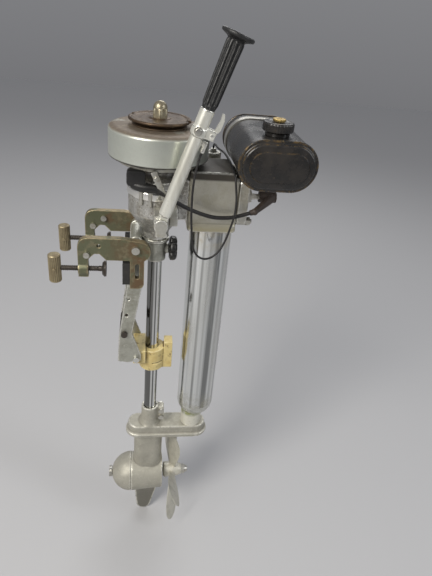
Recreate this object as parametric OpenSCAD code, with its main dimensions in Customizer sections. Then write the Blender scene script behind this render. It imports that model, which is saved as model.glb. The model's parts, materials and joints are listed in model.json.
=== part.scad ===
// Small single-cylinder outboard motor that clamps to a boat's transom.
// Frame: +X aft, +Y starboard, +Z up along the drive tube.
// The origin is the middle of the transom's top edge.

/* [Transom clamp] */
// Thickness of the board that the clamp holds
transom_t = 26; // [20:1:32]
// Clear width between the two cheeks
cheek_gap = 102; // [98:1:116]
// Thickness of a cheek
cheek_t = 12; // [9:1:16]
// Height of the cheeks above the seat
cheek_h = 38; // [36:1:44]
// Clear space ahead of the board for the pads
clamp_reach = 28; // [26:1:34]
// Width of a cheek's front leg
front_leg_w = 16; // [14:1:22]
// Depth of a cheek's front leg below the seat
front_leg_drop = 31; // [30:1:38]
// Width of a cheek's rear leg
rear_leg_w = 23; // [18:1:28]
// Depth of a cheek's rear leg below the seat
rear_leg_drop = 52; // [48:1:60]
// Thickness of the pads behind the board
rear_pad_t = 12; // [8:1:12]
// Diameter of the bolts through the cheeks
cheek_bolt_d = 6; // [5:1:8]

/* [Clamp screws] */
// Depth of the screws below the seat
screw_drop = 18; // [16:1:19]
// Diameter of a clamp screw
screw_d = 9; // [8:0.5:11]
// Diameter of a clamp pad
pad_d = 26; // [20:1:32]
// Thickness of a clamp pad
pad_t = 6; // [5:0.5:8]
// Distance from the front leg to the middle of a handle
handle_out = 37; // [30:1:46]
// Diameter of a barrel handle
handle_d = 20; // [16:1:24]
// Length of a barrel handle
handle_l = 48; // [40:1:60]

/* [Tilt and swivel] */
// Distance from the middle of the board aft to the drive tube
setback = 67; // [66:1:76]
// Distance from the middle of the board aft to the tilt pivot
pivot_x = 34; // [33:1:36]
// Height of the tilt pivot above the seat
pivot_z = 20; // [18:1:21]
// Diameter of the tilt pivot bolt
pivot_d = 10; // [8:1:12]
// Diameter of the swivel collar
collar_d = 36; // [33:1:40]
// Height of the swivel collar's top above the seat
collar_top = 18; // [16:1:18]
// Length of the swivel collar
collar_h = 43; // [38:1:48]
// Diameter of the friction knob
knob_d = 44; // [38:1:45]
// Thickness of the friction knob
knob_t = 14; // [10:1:18]
// Clear width between the two struts
strut_gap = 60; // [56:1:66]
// Thickness of a strut
strut_t = 5; // [4:1:7]
// Width of a strut at its top
strut_w = 28; // [24:1:32]
// Depth of the saddle bolt below the seat
saddle_bolt_z = 223; // [215:1:232]
// Height of the saddle bush
saddle_h = 52; // [46:1:58]
// Diameter of the saddle bush
saddle_d = 48; // [42:1:54]
// Depth of the trim bolt below the seat
trim_z = 165; // [150:1:180]

/* [Drive leg] */
// Outer diameter of the drive tube
tube_d = 25.4; // [24:0.2:27]
// Wall of the drive tube
tube_wall = 1.6; // [1.2:0.2:2.4]
// Depth of the lower collar's top below the seat
lower_top = 372; // [362:1:378]
// Diameter of the lower collar
lower_collar_d = 35; // [33:1:40]
// Depth of the plate's top face below the seat
plate_top = 418; // [412:1:424]
// Height of the plate, its lip included
plate_t = 26; // [20:1:30]
// Half width of the plate above its lip
plate_r = 22; // [21.5:0.5:26]
// Width of the leg under the plate
leg_w = 40; // [34:1:46]
// Depth of the propeller shaft below the seat
prop_z = 578; // [572:1:590]
// Radius of the gear case's round nose
gear_case_r = 43; // [42:1:47]
// Radius of the gear case's aft end
gear_tail_r = 38; // [36:1:41]
// Depth of the skeg's tip below the propeller shaft
skeg_drop = 132; // [110:1:145]
// Thickness of the skeg
skeg_t = 8; // [6:1:12]

/* [Propeller] */
// Diameter of the propeller
prop_d = 230; // [190:2:240]
// Number of blades
blades = 5; // [3:1:5]
// Widest chord of a blade
blade_chord = 51; // [40:1:58]
// Thickness of a blade
blade_t = 4; // [3:0.5:6]
// Angle of a blade to the plane of rotation
blade_angle = 31; // [20:1:38]
// Diameter of the hub
hub_d = 34; // [30:1:40]
// Length of the hub
hub_l = 42; // [40:1:48]
// Diameter of the propeller shaft
prop_shaft_d = 12; // [10:1:14]

/* [Gears] */
// Teeth on the pinion
pinion_teeth = 12; // [12:12:12]
// Gear ratio, crown teeth to pinion teeth
gear_ratio = 3; // [3:1:3]
// Pitch radius of the pinion
pinion_r = 10; // [10:0.1:10.2]
// Width of a gear tooth
tooth_w = 1.6; // [1.4:0.1:1.8]
// Diameter of the drive shaft
drive_shaft_d = 10; // [8:1:12]

/* [Powerhead] */
// Diameter of the crankcase
crankcase_d = 94; // [90:1:98]
// Height of the cylinder's axis above the seat
cylinder_z = 96; // [94:1:100]
// Diameter of the cylinder bore
bore_d = 50; // [44:1:50]
// Stroke of the piston
stroke = 44; // [40:1:44]
// Length of the connecting rod between its eyes
rod_l = 75; // [74:1:78]
// Length of the cylinder block
block_l = 80; // [78:1:84]
// Width of the cylinder block
block_w = 80; // [78:1:86]
// Height of the cylinder block
block_h = 100; // [98:1:104]
// Thickness of the cylinder head
head_t = 16; // [12:1:18]
// Diameter of the head studs
stud_d = 8; // [6:1:9]
// Diameter of the crankshaft journals
journal_d = 16; // [14:1:18]
// Height of the flywheel's lower edge above the seat
flywheel_z = 157; // [156:1:162]
// Diameter of the flywheel
flywheel_d = 156; // [144:1:157]
// Height of the flywheel
flywheel_h = 46; // [42:1:52]
// Diameter of the starter pulley
pulley_d = 96; // [80:1:104]
// Height of the starter pulley
pulley_h = 12; // [10:1:16]
// Width of the flywheel nut across its corners
nut_d = 25; // [22:1:30]
// Height of the flywheel nut with its dome
nut_h = 24; // [20:1:30]

/* [Exhaust] */
// Distance from the drive tube to the exhaust tube, axis to axis
exhaust_x = 93.5; // [92:0.5:95]
// Diameter of the exhaust tube
exhaust_d = 73; // [66:1:74]
// Wall of the exhaust tube
exhaust_wall = 1.5; // [1:0.25:3]
// Diameter of the outlet stub
stub_d = 42; // [36:1:43]

/* [Fuel tank] */
// Length of the tank across the boat
tank_l = 192; // [184:1:204]
// Width of the tank along the boat
tank_w = 118; // [112:1:126]
// Height of the tank
tank_h = 74; // [68:1:80]
// Distance from the drive tube aft to the tank's middle
tank_x = 172; // [170:1:178]
// Height of the tank's middle above the seat
tank_z = 174; // [172:1:180]
// Wall of the tank
tank_wall = 1.5; // [1:0.25:2.5]
// Diameter of the filler cap
cap_d = 47; // [36:1:52]
// Height of the filler cap
cap_h = 20; // [16:1:26]
// Distance from the tank's middle to the filler, to port
cap_y = 50; // [40:1:58]

/* [Tiller] */
// Distance of the tiller from the middle plane
tiller_y = 90; // [89:1:94]
// Lean of the folded tiller aft of upright
tiller_lean = 18.5; // [12:0.5:22]
// Length of the tiller from its pivot to the grip's end
tiller_l = 278; // [270:1:310]
// Diameter of the tiller tube
tiller_d = 19; // [17:0.5:20]
// Length of the grip
grip_l = 98; // [90:1:120]
// Diameter of the grip
grip_d = 24; // [22:1:28]
// Diameter of the flange at the grip's end
grip_flange_d = 45; // [34:1:52]

/* [Cords] */
// Diameter of the throttle cable
cable_d = 3.4; // [2.4:0.2:3.8]
// Diameter of the ignition lead
lead_d = 6.4; // [5:0.2:7]

/* [Hidden] */
$fn = 48;
// Radial clearance of a running fit, and the gap kept between pieces that move past each other
fit_gap = 0.05;
part_gap = 0.3;
// Chord steps of the cords' tubes
cord_sides = 8;

// Places along X and Y on the clamp
leg_x1 = -transom_t / 2 - clamp_reach;
leg_x0 = leg_x1 - front_leg_w;
rear_x0 = transom_t / 2 + rear_pad_t;
rear_x1 = rear_x0 + rear_leg_w;
cheek_in = cheek_gap / 2;
cheek_out = cheek_in + cheek_t;
cheek_y = cheek_in + cheek_t / 2;
handle_x = leg_x0 - handle_out;
pad_x = -transom_t / 2 - pad_t;
bolt_places = [[leg_x0 + 14, 10], [leg_x1 + 17, cheek_h - 13]];
bolt_head_t = 5;

// Places on the swivel frame, from the drive tube
pivot_tx = pivot_x - setback;
strut_in = strut_gap / 2;
strut_out = strut_in + strut_t;
saddle_bolt_x = -30;
trim_x = -52;
collar_flange = 5;
collar_bottom = collar_top - collar_h;
saddle_top = -saddle_bolt_z + 13;
saddle_bottom = saddle_top - saddle_h;
tube_r = tube_d / 2;

// Levels on the powerhead
case_bottom = collar_top + part_gap;
case_r = crankcase_d / 2;
case_top = flywheel_z - 8;
tube_top = case_bottom + 14;
chamber_h = 52;
chamber_z0 = cylinder_z - chamber_h / 2;
chamber_z1 = cylinder_z + chamber_h / 2;
crank_r = stroke / 2;
web_r = 29;
web_t = 12;
big_end_r = 10.5;
// Farthest reach of the connecting rod's big end at its full swing
rod_swing = asin(crank_r / rod_l);
rod_sweep_r = norm([crank_r + rod_l - rod_l * cos(rod_swing), rod_l * sin(rod_swing)]) + big_end_r + 0.6;
bore_r = bore_d / 2;
block_x0 = case_r + 2;
block_x1 = block_x0 + block_l;
block_z0 = cylinder_z - block_h / 2;
block_z1 = block_z0 + block_h;
head_x1 = block_x1 + head_t;
stud_y = block_w / 2 - 9;
stud_z = block_h / 2 - 18;
journal_r = journal_d / 2;
gudgeon_x = crank_r + rod_l;
gudgeon_r = 6;
piston_up = 17;
piston_down = 20;
flywheel_top = flywheel_z + flywheel_h;
pulley_top = flywheel_top + pulley_h;
shaft_joint_z = tube_top + 2;

// Levels on the drive leg
shaft_z = -prop_z;
plate_z1 = -plate_top;
plate_z0 = plate_z1 - plate_t;
collar_socket_z = -lower_top - 44;
plate_front = -45;
plate_back = 119;
plate_lip = 5;
plate_lip_t = 8;
case_x = -38;
case_tail = 32;
cap_wall = 7.5;
shaft_nose = 12;
collar_bolt_drops = [10, 28];
collar_bolt_out = 6;
cavity_r = gear_tail_r - 2.5;
cap_cavity_r = gear_case_r - cap_wall;
cavity_back = 14;
leg_front = -32;
leg_back = 29;
crown_r = pinion_r * gear_ratio;
crown_face = -pinion_r - 2;
pinion_z0 = shaft_z + crown_r - 6;
pinion_z1 = shaft_z + crown_r + 6;
hub_x = case_tail + 3;
blade_x = hub_x + hub_l / 2;
prop_rest_angle = 32;

// Exhaust, tank and carburettor
exhaust_r = exhaust_d / 2;
exhaust_dome_z = -353;
stub_top = -387;
stub_x = 88;
tank_bottom = tank_z - tank_h / 2;
tank_top = tank_z + tank_h / 2;
tank_y = tank_l / 2;
shelf_t = 6;
strap_w = 14;
strap_t = 1.6;
strap_y = 48;
neck_r = 17;
neck_top = tank_top + 6;
tap_x = tank_x;
tap_y = tank_y - 20;
tap_z = tank_bottom - 14;
carb_x = block_x0 + 46;
carb_z = cylinder_z + 2;
carb_y = block_w / 2 + 26;
chamber_r = 14;
slide_r = 10;
slide_z0 = carb_z - 10;
slide_l = 38;
carb_mouth = 34;
carb_throat_r = 13;
carb_flange = [18, 6, 15];
stud_depth = 23;
chamber_top = carb_z + 44;
float_x = carb_x + 29;
float_y = tap_y;

// Tiller, in a frame of its own: Z along the tube, X square to it on the aft side
tiller_x = 4;
tiller_z = 78;
eye_r = 10;
eye_t = 11;
ear_t = 6;
tiller_bolt_r = 4;
lever_l = 32;
grip_z0 = tiller_l - grip_l;
clamp_z = 150;
lever_t = 18;
adjuster_x = 15;
adjuster_z0 = 122;

// Routes of the cords, from the drive tube, at round places chosen by hand
cable_route = [
    [56.4, -90, 188], [53, -91, 175], [50, -93, 159], [48, -94, 138], [48, -93, 115], [49, -91, 92],
    [51, -89, 70], [53, -86, 50], [58, -82, 32], [66, -77, 19], [78, -73, 13], [90, -70, 16],
    [101, -68, 27], [109, -66, 44], [115, -64, 64], [120, -62, 86], [121, -59, 108], [119, -53, 128],
    [117, -47, 143], [113, -30, 155], [109, -9, 161], [105, 12, 164], [99, 34, 164], [96, 54, 165],
    [95, 65, 161], [95, 66, 151]];
lead_route = [
    [-1, -64, 123], [8, -66, 116], [22, -67, 108], [38, -66, 99], [54, -63, 91], [70, -59, 84],
    [86, -56, 79], [102, -53, 77], [118, -52, 78], [134, -51, 82], [147, -50, 86]];

// Directions in which the lead leaves the coil and enters the plug cap
lead_end = lead_route[len(lead_route) - 1];
lead_out = unit(lead_route[1] - lead_route[0]);
lead_in = unit(lead_end - lead_route[len(lead_route) - 2]);

// Points on an arc in a flat outline
function arc(cx, cy, r, a0, a1, n = 6) =
    [for (i = [0:n]) let (a = a0 + (a1 - a0) * i / n) [cx + r * cos(a), cy + r * sin(a)]];

// A point on the smooth curve through four route points, between the middle two
function between(p0, p1, p2, p3, t) =
    0.5 * (2 * p1 + (p2 - p0) * t + (2 * p0 - 5 * p1 + 4 * p2 - p3) * t * t
        + (3 * p1 - p0 - 3 * p2 + p3) * t * t * t);

// A route's points with each gap cut in two along the smooth curve
function smooth(route) =
    let (last = len(route) - 1)
    [for (i = [0:last - 1]) each [route[i],
        between(route[max(i - 1, 0)], route[i], route[i + 1], route[min(i + 2, last)], 0.5)], route[last]];

function unit(v) = v / norm(v);

// A ring of points round a route's point i, square to the route there
function ring_at(route, i, r, sides) =
    let (ahead = unit(route[min(i + 1, len(route) - 1)] - route[max(i - 1, 0)]))
    let (side = unit(cross(ahead, [0.31, 1, 0.17])))
    let (up = cross(side, ahead))
    [for (k = [0:sides - 1]) let (a = 360 * k / sides) route[i] + r * (cos(a) * side + sin(a) * up)];

// One closed tube along a route
module cord(route, r, sides = cord_sides) {
    rings = len(route);
    points = [for (i = [0:rings - 1]) each ring_at(route, i, r, sides)];
    walls = [for (i = [0:rings - 2]) for (k = [0:sides - 1])
        let (a = i * sides + k, b = i * sides + (k + 1) % sides)
        each [[a, a + sides, b], [b, a + sides, b + sides]]];
    start = [for (k = [1:sides - 2]) [0, k, k + 1]];
    last = (rings - 1) * sides;
    ends = [for (k = [1:sides - 2]) [last, last + k + 1, last + k]];
    polyhedron(points, concat(walls, start, ends));
}

module plate_y(y0, y1) translate([0, y1, 0]) rotate([90, 0, 0]) linear_extrude(y1 - y0) children();
module cyl_x(x0, x1, r) translate([x0, 0, 0]) rotate([0, 90, 0]) cylinder(h = x1 - x0, r = r);
module cyl_y(y0, y1, r) translate([0, y1, 0]) rotate([90, 0, 0]) cylinder(h = y1 - y0, r = r);
module cyl_z(z0, z1, r) translate([0, 0, z0]) cylinder(h = z1 - z0, r = r);
module hex_x(x0, x1, r) translate([x0, 0, 0]) rotate([0, 90, 0]) cylinder(h = x1 - x0, r = r, $fn = 6);
module hex_y(y0, y1, r) translate([0, y1, 0]) rotate([90, 0, 0]) cylinder(h = y1 - y0, r = r, $fn = 6);
module box(lo, hi) translate(lo) cube(hi - lo);
module at_tube() translate([setback, 0, 0]) children();

// A round bar or cone from point a to point b
module bar(a, b, ra, rb) {
    d = b - a;
    translate(a) rotate([0, acos(d.z / norm(d)), atan2(d.y, d.x)]) cylinder(h = norm(d), r1 = ra, r2 = rb);
}

// A flat shape with round ends, from x0 to x1
module stadium(x0, x1, r) {
    translate([x0 + r, -r]) square([x1 - x0 - 2 * r, 2 * r]);
    translate([x0 + r, 0]) circle(r);
    translate([x1 - r, 0]) circle(r);
}

// A rectangle with round corners, centred on the origin
module round_rect(w, h, r) {
    square([w - 2 * r, h], center = true);
    square([w, h - 2 * r], center = true);
    for (x = [-1, 1]) for (y = [-1, 1]) translate([x * (w / 2 - r), y * (h / 2 - r)]) circle(r);
}

// A bolt along Y through a stack, with a round head to port and a hex nut to starboard
module bolt_y(y0, y1, r, head_r) {
    cyl_y(y0, y1, r);
    cyl_y(y0 - bolt_head_t, y0, head_r);
    hex_y(y1, y1 + bolt_head_t, head_r);
}

// Side view of a cheek: a hook over the board with a front leg, a rear leg and a nose round the tilt pivot
module cheek_outline() {
    corner_r = 15;
    arch = 10;
    nose_r = pivot_z - 2;
    foot_r = 8;
    polygon(concat(
        [[leg_x0, -front_leg_drop]],
        arc(leg_x0 + corner_r, cheek_h - corner_r, corner_r, 180, 90),
        [[pivot_x - 22, cheek_h], [pivot_x + 6, pivot_z - 4 + nose_r]],
        [[max(pivot_x + 6, rear_x1), -2]],
        arc(rear_x1 - foot_r, -rear_leg_drop + foot_r, foot_r, 0, -90),
        [[rear_x0, -rear_leg_drop], [rear_x0, 0], [-transom_t / 2, 0]],
        [[-transom_t / 2 - arch, arch + 1], [leg_x1 + arch, arch + 1], [leg_x1, 1]],
        [[leg_x1, -front_leg_drop]]));
    translate([pivot_x + 6, pivot_z - 4]) circle(nose_r);
}

module cheek(side) {
    boss_r = screw_d / 2 + 6.5;
    slot_r = 3.5;
    slot_x = (rear_x0 + rear_x1) / 2;
    difference() {
        union() {
            translate([0, side * cheek_y, 0]) plate_y(-cheek_t / 2, cheek_t / 2) cheek_outline();
            translate([0, side * cheek_y, -screw_drop]) cyl_x(leg_x0, leg_x1, boss_r);
        }
        translate([0, side * cheek_y, -screw_drop]) cyl_x(leg_x0 - 1, leg_x1 + 1, screw_d / 2 + fit_gap);
        for (p = bolt_places)
            translate([p.x, 0, p.y]) cyl_y(-cheek_out - 1, cheek_out + 1, cheek_bolt_d / 2 + fit_gap);
        translate([pivot_x, 0, pivot_z]) cyl_y(-cheek_out - 1, cheek_out + 1, pivot_d / 2 + fit_gap);
        translate([slot_x, side * cheek_y, -rear_leg_drop / 2 + 6]) rotate([0, 90, 0])
            plate_y(-cheek_t / 2 - 1, cheek_t / 2 + 1) stadium(-14, 14, slot_r);
    }
}

module clamp_cheek_port() color("#6b6443") cheek(-1);
module clamp_cheek_starboard() color("#6b6443") cheek(1);

// The port cheek's upper hole is empty
module cheek_bolts() color("#a9aba3")
    for (b = [[-1, 0], [1, 0], [1, 1]])
        translate([bolt_places[b[1]].x, b[0] * cheek_y, bolt_places[b[1]].y])
            bolt_y(-cheek_t / 2, cheek_t / 2, cheek_bolt_d / 2, cheek_bolt_d / 2 + 2);

module rear_pads() color("#2b2b2b") for (side = [-1, 1])
    box([transom_t / 2, side * cheek_y - cheek_t / 2, -rear_leg_drop + 8],
        [rear_x0, side * cheek_y + cheek_t / 2, -6]);

module tilt_pivot_bolt() color("#b5b6ae")
    translate([pivot_x, 0, pivot_z]) bolt_y(-cheek_out, cheek_out, pivot_d / 2, pivot_d / 2 + 1.5);

// Clamp screw along X, stepped down at the tip where the pad swivels on it
module clamp_screw(side) color("#3a3733") translate([0, side * cheek_y, -screw_drop]) {
    cyl_x(handle_x - handle_d / 2 + 4, pad_x - part_gap, screw_d / 2);
    cyl_x(pad_x - part_gap, pad_x + pad_t - 2, screw_d / 3);
}

module clamp_handle(side) color("#8a7a55") translate([handle_x, side * cheek_y, -screw_drop]) difference() {
    rotate_extrude() polygon([[0, -handle_l / 2], [handle_d / 2 - 2, -handle_l / 2],
        [handle_d / 2, -handle_l / 2 + 2], [handle_d / 2, handle_l / 2 - 2],
        [handle_d / 2 - 2, handle_l / 2], [0, handle_l / 2]]);
    cyl_x(-handle_d / 2 + 4 - fit_gap, handle_d, screw_d / 2 + fit_gap);
}

module clamp_pad(side) color("#3f3c36") translate([0, side * cheek_y, -screw_drop]) difference() {
    translate([pad_x, 0, 0]) rotate([0, 90, 0]) rotate_extrude()
        polygon([[0, 0], [pad_d / 2 - 3, 0], [pad_d / 2, pad_t / 2], [pad_d / 2, pad_t], [0, pad_t]]);
    cyl_x(pad_x - 1, pad_x + pad_t - 2 + fit_gap, screw_d / 3 + fit_gap);
}

module clamp_screw_port() clamp_screw(-1);
module clamp_handle_port() clamp_handle(-1);
module clamp_pad_port() clamp_pad(-1);
module clamp_screw_starboard() clamp_screw(1);
module clamp_handle_starboard() clamp_handle(1);
module clamp_pad_starboard() clamp_pad(1);

// Bearing of the drive tube, hung on the tilt pivot by a web and a long boss
module swivel_collar() color("#9b9c94") at_tube() difference() {
    flange_r = collar_d / 2 + collar_flange;
    union() {
        cyl_z(collar_bottom, collar_top, collar_d / 2);
        cyl_z(collar_top - 6, collar_top, flange_r);
        box([pivot_tx, -16, collar_bottom + 3], [0, 16, pivot_z - 8]);
        translate([pivot_tx, 0, pivot_z]) cyl_y(-strut_in, strut_in, pivot_d / 2 + 4);
        translate([0, 0, collar_top - 23]) cyl_x(0, flange_r, 9);
    }
    cyl_z(collar_bottom - 1, collar_top + 1, tube_r + fit_gap);
    translate([pivot_tx, 0, pivot_z]) cyl_y(-strut_in - 1, strut_in + 1, pivot_d / 2 + fit_gap);
    translate([0, 0, collar_top - 23]) cyl_x(0, collar_d, 4 + fit_gap);
}

// Fluted hand knob whose stem presses on the drive tube
module friction_knob() color("#1b1b1b") at_tube() translate([0, 0, collar_top - 23]) {
    knob_x = collar_d / 2 + collar_flange + part_gap;
    difference() {
        cyl_x(knob_x, knob_x + knob_t, knob_d / 2);
        for (a = [0:60:300]) rotate([a, 0, 0]) translate([0, 0, knob_d / 2 + 3])
            cyl_x(0, knob_x + knob_t + 1, 7);
    }
    cyl_x(tube_r + part_gap, knob_x + 1, 4);
}

// Long flat bar that hangs from the tilt pivot, with a boss out to the cheek
module strut(side) color("#b9bcae") at_tube() difference() {
    eye_end = cheek_in - part_gap;
    union() {
        translate([0, side * (strut_in + strut_t / 2), 0]) plate_y(-strut_t / 2, strut_t / 2) {
            polygon([[pivot_tx - strut_w / 2 + 3, pivot_z], [pivot_tx - strut_w / 2, -60],
                [trim_x - 10, -trim_z - 8], [trim_x - 12, -saddle_bolt_z - 6],
                [trim_x + 6, -saddle_bolt_z - 9], [saddle_bolt_x + 9, -saddle_bolt_z - 4],
                [saddle_bolt_x + 9, -saddle_bolt_z + 10], [trim_x + 14, -trim_z],
                [pivot_tx + strut_w / 2 - 2, -60], [pivot_tx + strut_w / 2 - 3, pivot_z]]);
            translate([pivot_tx, pivot_z]) circle(pivot_d / 2 + 6);
        }
        translate([pivot_tx, 0, pivot_z])
            cyl_y(side > 0 ? strut_in : -eye_end, side > 0 ? eye_end : -strut_in, pivot_d / 2 + 4);
    }
    translate([pivot_tx, 0, pivot_z]) cyl_y(-cheek_in, cheek_in, pivot_d / 2 + fit_gap);
    translate([saddle_bolt_x, 0, -saddle_bolt_z]) cyl_y(-cheek_in, cheek_in, 4 + fit_gap);
    translate([trim_x, 0, -trim_z]) cyl_y(-cheek_in, cheek_in, 4 + fit_gap);
    for (z = [-90, -125]) translate([pivot_tx - 5 + z / 12, 0, z]) cyl_y(-cheek_in, cheek_in, 3.5);
}

module frame_strut_port() strut(-1);
module frame_strut_starboard() strut(1);

// Lower bearing of the drive tube, with a front lug between the struts and a raised lug aft
module saddle_bush() color("#d9b648") at_tube() difference() {
    lug_back = saddle_d / 2 + 15;
    union() {
        cyl_z(saddle_bottom, saddle_top - 5, saddle_d / 2);
        box([saddle_bolt_x - 6, -strut_in, saddle_top - 28], [-tube_r, strut_in, saddle_top]);
        translate([saddle_bolt_x, 0, -saddle_bolt_z]) cyl_y(-strut_in, strut_in, 9);
        box([0, -12, saddle_bottom], [lug_back, 12, saddle_top - 20]);
        box([lug_back - 16, -12, saddle_bottom], [lug_back, 12, saddle_top + 8]);
    }
    cyl_z(saddle_bottom - 1, saddle_top + 1, tube_r + fit_gap);
    translate([saddle_bolt_x, 0, -saddle_bolt_z]) cyl_y(-strut_in - 1, strut_in + 1, 4 + fit_gap);
    translate([0, 0, saddle_bottom + saddle_h / 3]) difference() {
        cyl_z(-1.5, 1.5, saddle_d);
        cyl_z(-2, 2, saddle_d / 2 - 2);
        box([-saddle_d, -saddle_d, -2], [0, saddle_d, 2]);
        box([0, -12.5, -2], [saddle_d, 12.5, 2]);
    }
}

// Bolt through the struts and the saddle, and the trim bolt with its roller on the board's aft face
module frame_bolts() color("#77766f") at_tube() {
    translate([saddle_bolt_x, 0, -saddle_bolt_z]) bolt_y(-strut_out, strut_out, 4, 6);
    translate([trim_x, 0, -trim_z]) {
        bolt_y(-strut_out, strut_out, 4, 6);
        cyl_y(-strut_in + part_gap, strut_in - part_gap, 9);
    }
}

module drive_tube() color("#c9ccce") at_tube() difference() {
    cyl_z(collar_socket_z, tube_top, tube_r);
    cyl_z(collar_socket_z - 1, tube_top + 1, tube_r - tube_wall);
}

// Crankcase turned about the crankshaft's axis, with a flange for the cylinder block
module crankcase() color("#b4b3a8") at_tube() difference() {
    neck_r = tube_r + 9;
    union() {
        rotate_extrude() polygon([[0, case_bottom], [neck_r, case_bottom], [neck_r, case_bottom + 12],
            [case_r - 4, case_bottom + 42], [case_r, case_bottom + 48], [case_r, chamber_z1 + 4],
            [case_r - 13, chamber_z1 + 10], [case_r - 13, case_top], [0, case_top]]);
        box([20, -block_w / 2 + 6, chamber_z0 - 8], [block_x0, block_w / 2 - 6, chamber_z1 + 8]);
    }
    cyl_z(case_bottom - 1, tube_top, tube_r + fit_gap);
    cyl_z(tube_top - 1, case_top + 1, journal_r + fit_gap);
    cyl_z(chamber_z0, chamber_z1, web_r + 9);
    cyl_z(cylinder_z - 6, cylinder_z + 6, rod_sweep_r);
    translate([0, 0, cylinder_z]) cyl_x(0, block_x0 + 1, bore_r + part_gap);
}

module cylinder_block() color("#bfb9a5") at_tube() difference() {
    rim = 2;
    rim_h = 12;
    union() {
        translate([(block_x0 + block_x1) / 2, 0, block_z0])
            linear_extrude(block_h) round_rect(block_l, block_w, 8);
        translate([(block_x0 + block_x1) / 2, 0, block_z0]) linear_extrude(rim_h)
            round_rect(block_l, block_w + 2 * rim, 8);
    }
    translate([0, 0, cylinder_z]) cyl_x(block_x0 - 1, block_x1 + 1, bore_r);
    box([block_x1 - 8, -block_w, block_z1 - 8], [block_x1 + 1, block_w, block_z1 + 1]);
    box([exhaust_x - 24, -12, block_z0 - 1], [exhaust_x - 12, 12, cylinder_z - bore_r + 4]);
    translate([carb_x, 0, carb_z]) cyl_y(bore_r - 6, block_w / 2 + 3, 9);
    stud_holes(block_x1 - 24, block_x1 + 1);
}

module stud_holes(x0, x1) for (y = [-1, 1]) for (z = [-1, 1])
    translate([0, y * stud_y, cylinder_z + z * stud_z]) cyl_x(x0, x1, stud_d / 2 + fit_gap);

module cylinder_head() color("#aaa798") at_tube() difference() {
    translate([block_x1, 0, cylinder_z]) rotate([0, 90, 0]) linear_extrude(head_t)
        round_rect(block_h - 22, block_w - 2, 10);
    translate([block_x1 - 8, 0, cylinder_z]) sphere(bore_r - 8);
    translate([0, 0, cylinder_z]) cyl_x(block_x1, head_x1 + 1, 7 + fit_gap);
    stud_holes(block_x1 - 1, head_x1 + 1);
}

module head_studs() color("#9a9a94") at_tube() for (y = [-1, 1]) for (z = [-1, 1])
    translate([0, y * stud_y, cylinder_z + z * stud_z]) {
        cyl_x(block_x1 - stud_depth, head_x1 + 10, stud_d / 2);
        hex_x(head_x1, head_x1 + 7, stud_d / 2 + 3.5);
    }

module spark_plug() color("#e4e0d6") at_tube() translate([head_x1, 0, cylinder_z]) {
    cyl_x(-head_t + 4, 1, 7);
    hex_x(0, 11, 12);
    translate([11, 0, 0]) rotate([0, 90, 0]) cylinder(h = 22, r1 = 5.4, r2 = 4);
    cyl_x(33, 39, 3);
}

// Elbow cap on the plug, with a tapered arm that the lead enters
module plug_cap() color("#2a211c") at_tube() difference() {
    plug_end = [head_x1 + 49, 0, cylinder_z];
    elbow = lead_end + 8 * lead_in;
    union() {
        translate([0, 0, cylinder_z]) cyl_x(head_x1 + 25, head_x1 + 54, 9);
        bar(plug_end, elbow, 8, lead_d / 2 + 1.6);
        translate(elbow) sphere(lead_d / 2 + 2.4);
        bar(elbow, lead_end + 0.2 * lead_in, lead_d / 2 + 1.6, lead_d / 2 + 1.2);
    }
    translate([0, 0, cylinder_z]) cyl_x(head_x1 + 24, head_x1 + 40, 5.6);
}

module ignition_lead() color("#1f1c1a") at_tube() cord(lead_route, lead_d / 2);

// Black coil box on the port bow, under the flywheel, with the boot that the lead leaves
module ignition_coil() color("#181818") at_tube() {
    box([-48, -case_r - 19, case_top - 30], [-4, -case_r - part_gap, case_top]);
    bar(lead_route[0] - 16 * lead_out, lead_route[0] - 0.2 * lead_out, 7, lead_d / 2 + 1.2);
}

module magneto_plate() color("#a3a49c") at_tube() difference() {
    cyl_z(case_top, case_top + 6, flywheel_d / 2 - 14);
    cyl_z(case_top - 1, case_top + 7, journal_r + 4);
}

module piston() color("#c2c2bc") at_tube() translate([gudgeon_x, 0, cylinder_z]) difference() {
    cyl_x(-piston_down, piston_up, bore_r - fit_gap);
    cyl_x(-piston_down - 1, piston_up - 6, bore_r - 5);
    cyl_z(-bore_r, bore_r, gudgeon_r + fit_gap);
    for (x = [piston_up - 5, piston_up - 10]) difference() {
        cyl_x(x, x + 2, bore_r + 1);
        cyl_x(x - 1, x + 3, bore_r - 1.5);
    }
}

module gudgeon_pin() color("#8f9296") at_tube() translate([gudgeon_x, 0, cylinder_z]) difference() {
    cyl_z(-bore_r + 3, bore_r - 3, gudgeon_r);
    cyl_z(-bore_r, bore_r, gudgeon_r - 3);
}

// Connecting rod in the plane square to the crankshaft
module connecting_rod() color("#9fa2a4") at_tube() translate([0, 0, cylinder_z]) difference() {
    union() {
        translate([crank_r, 0, 0]) cyl_z(-4, 4, big_end_r);
        translate([gudgeon_x, 0, 0]) cyl_z(-4, 4, 10);
        box([crank_r, -5, -3], [gudgeon_x, 5, 3]);
    }
    translate([crank_r, 0, 0]) cyl_z(-5, 5, 7);
    translate([gudgeon_x, 0, 0]) cyl_z(-5, 5, gudgeon_r + fit_gap);
}

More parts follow.
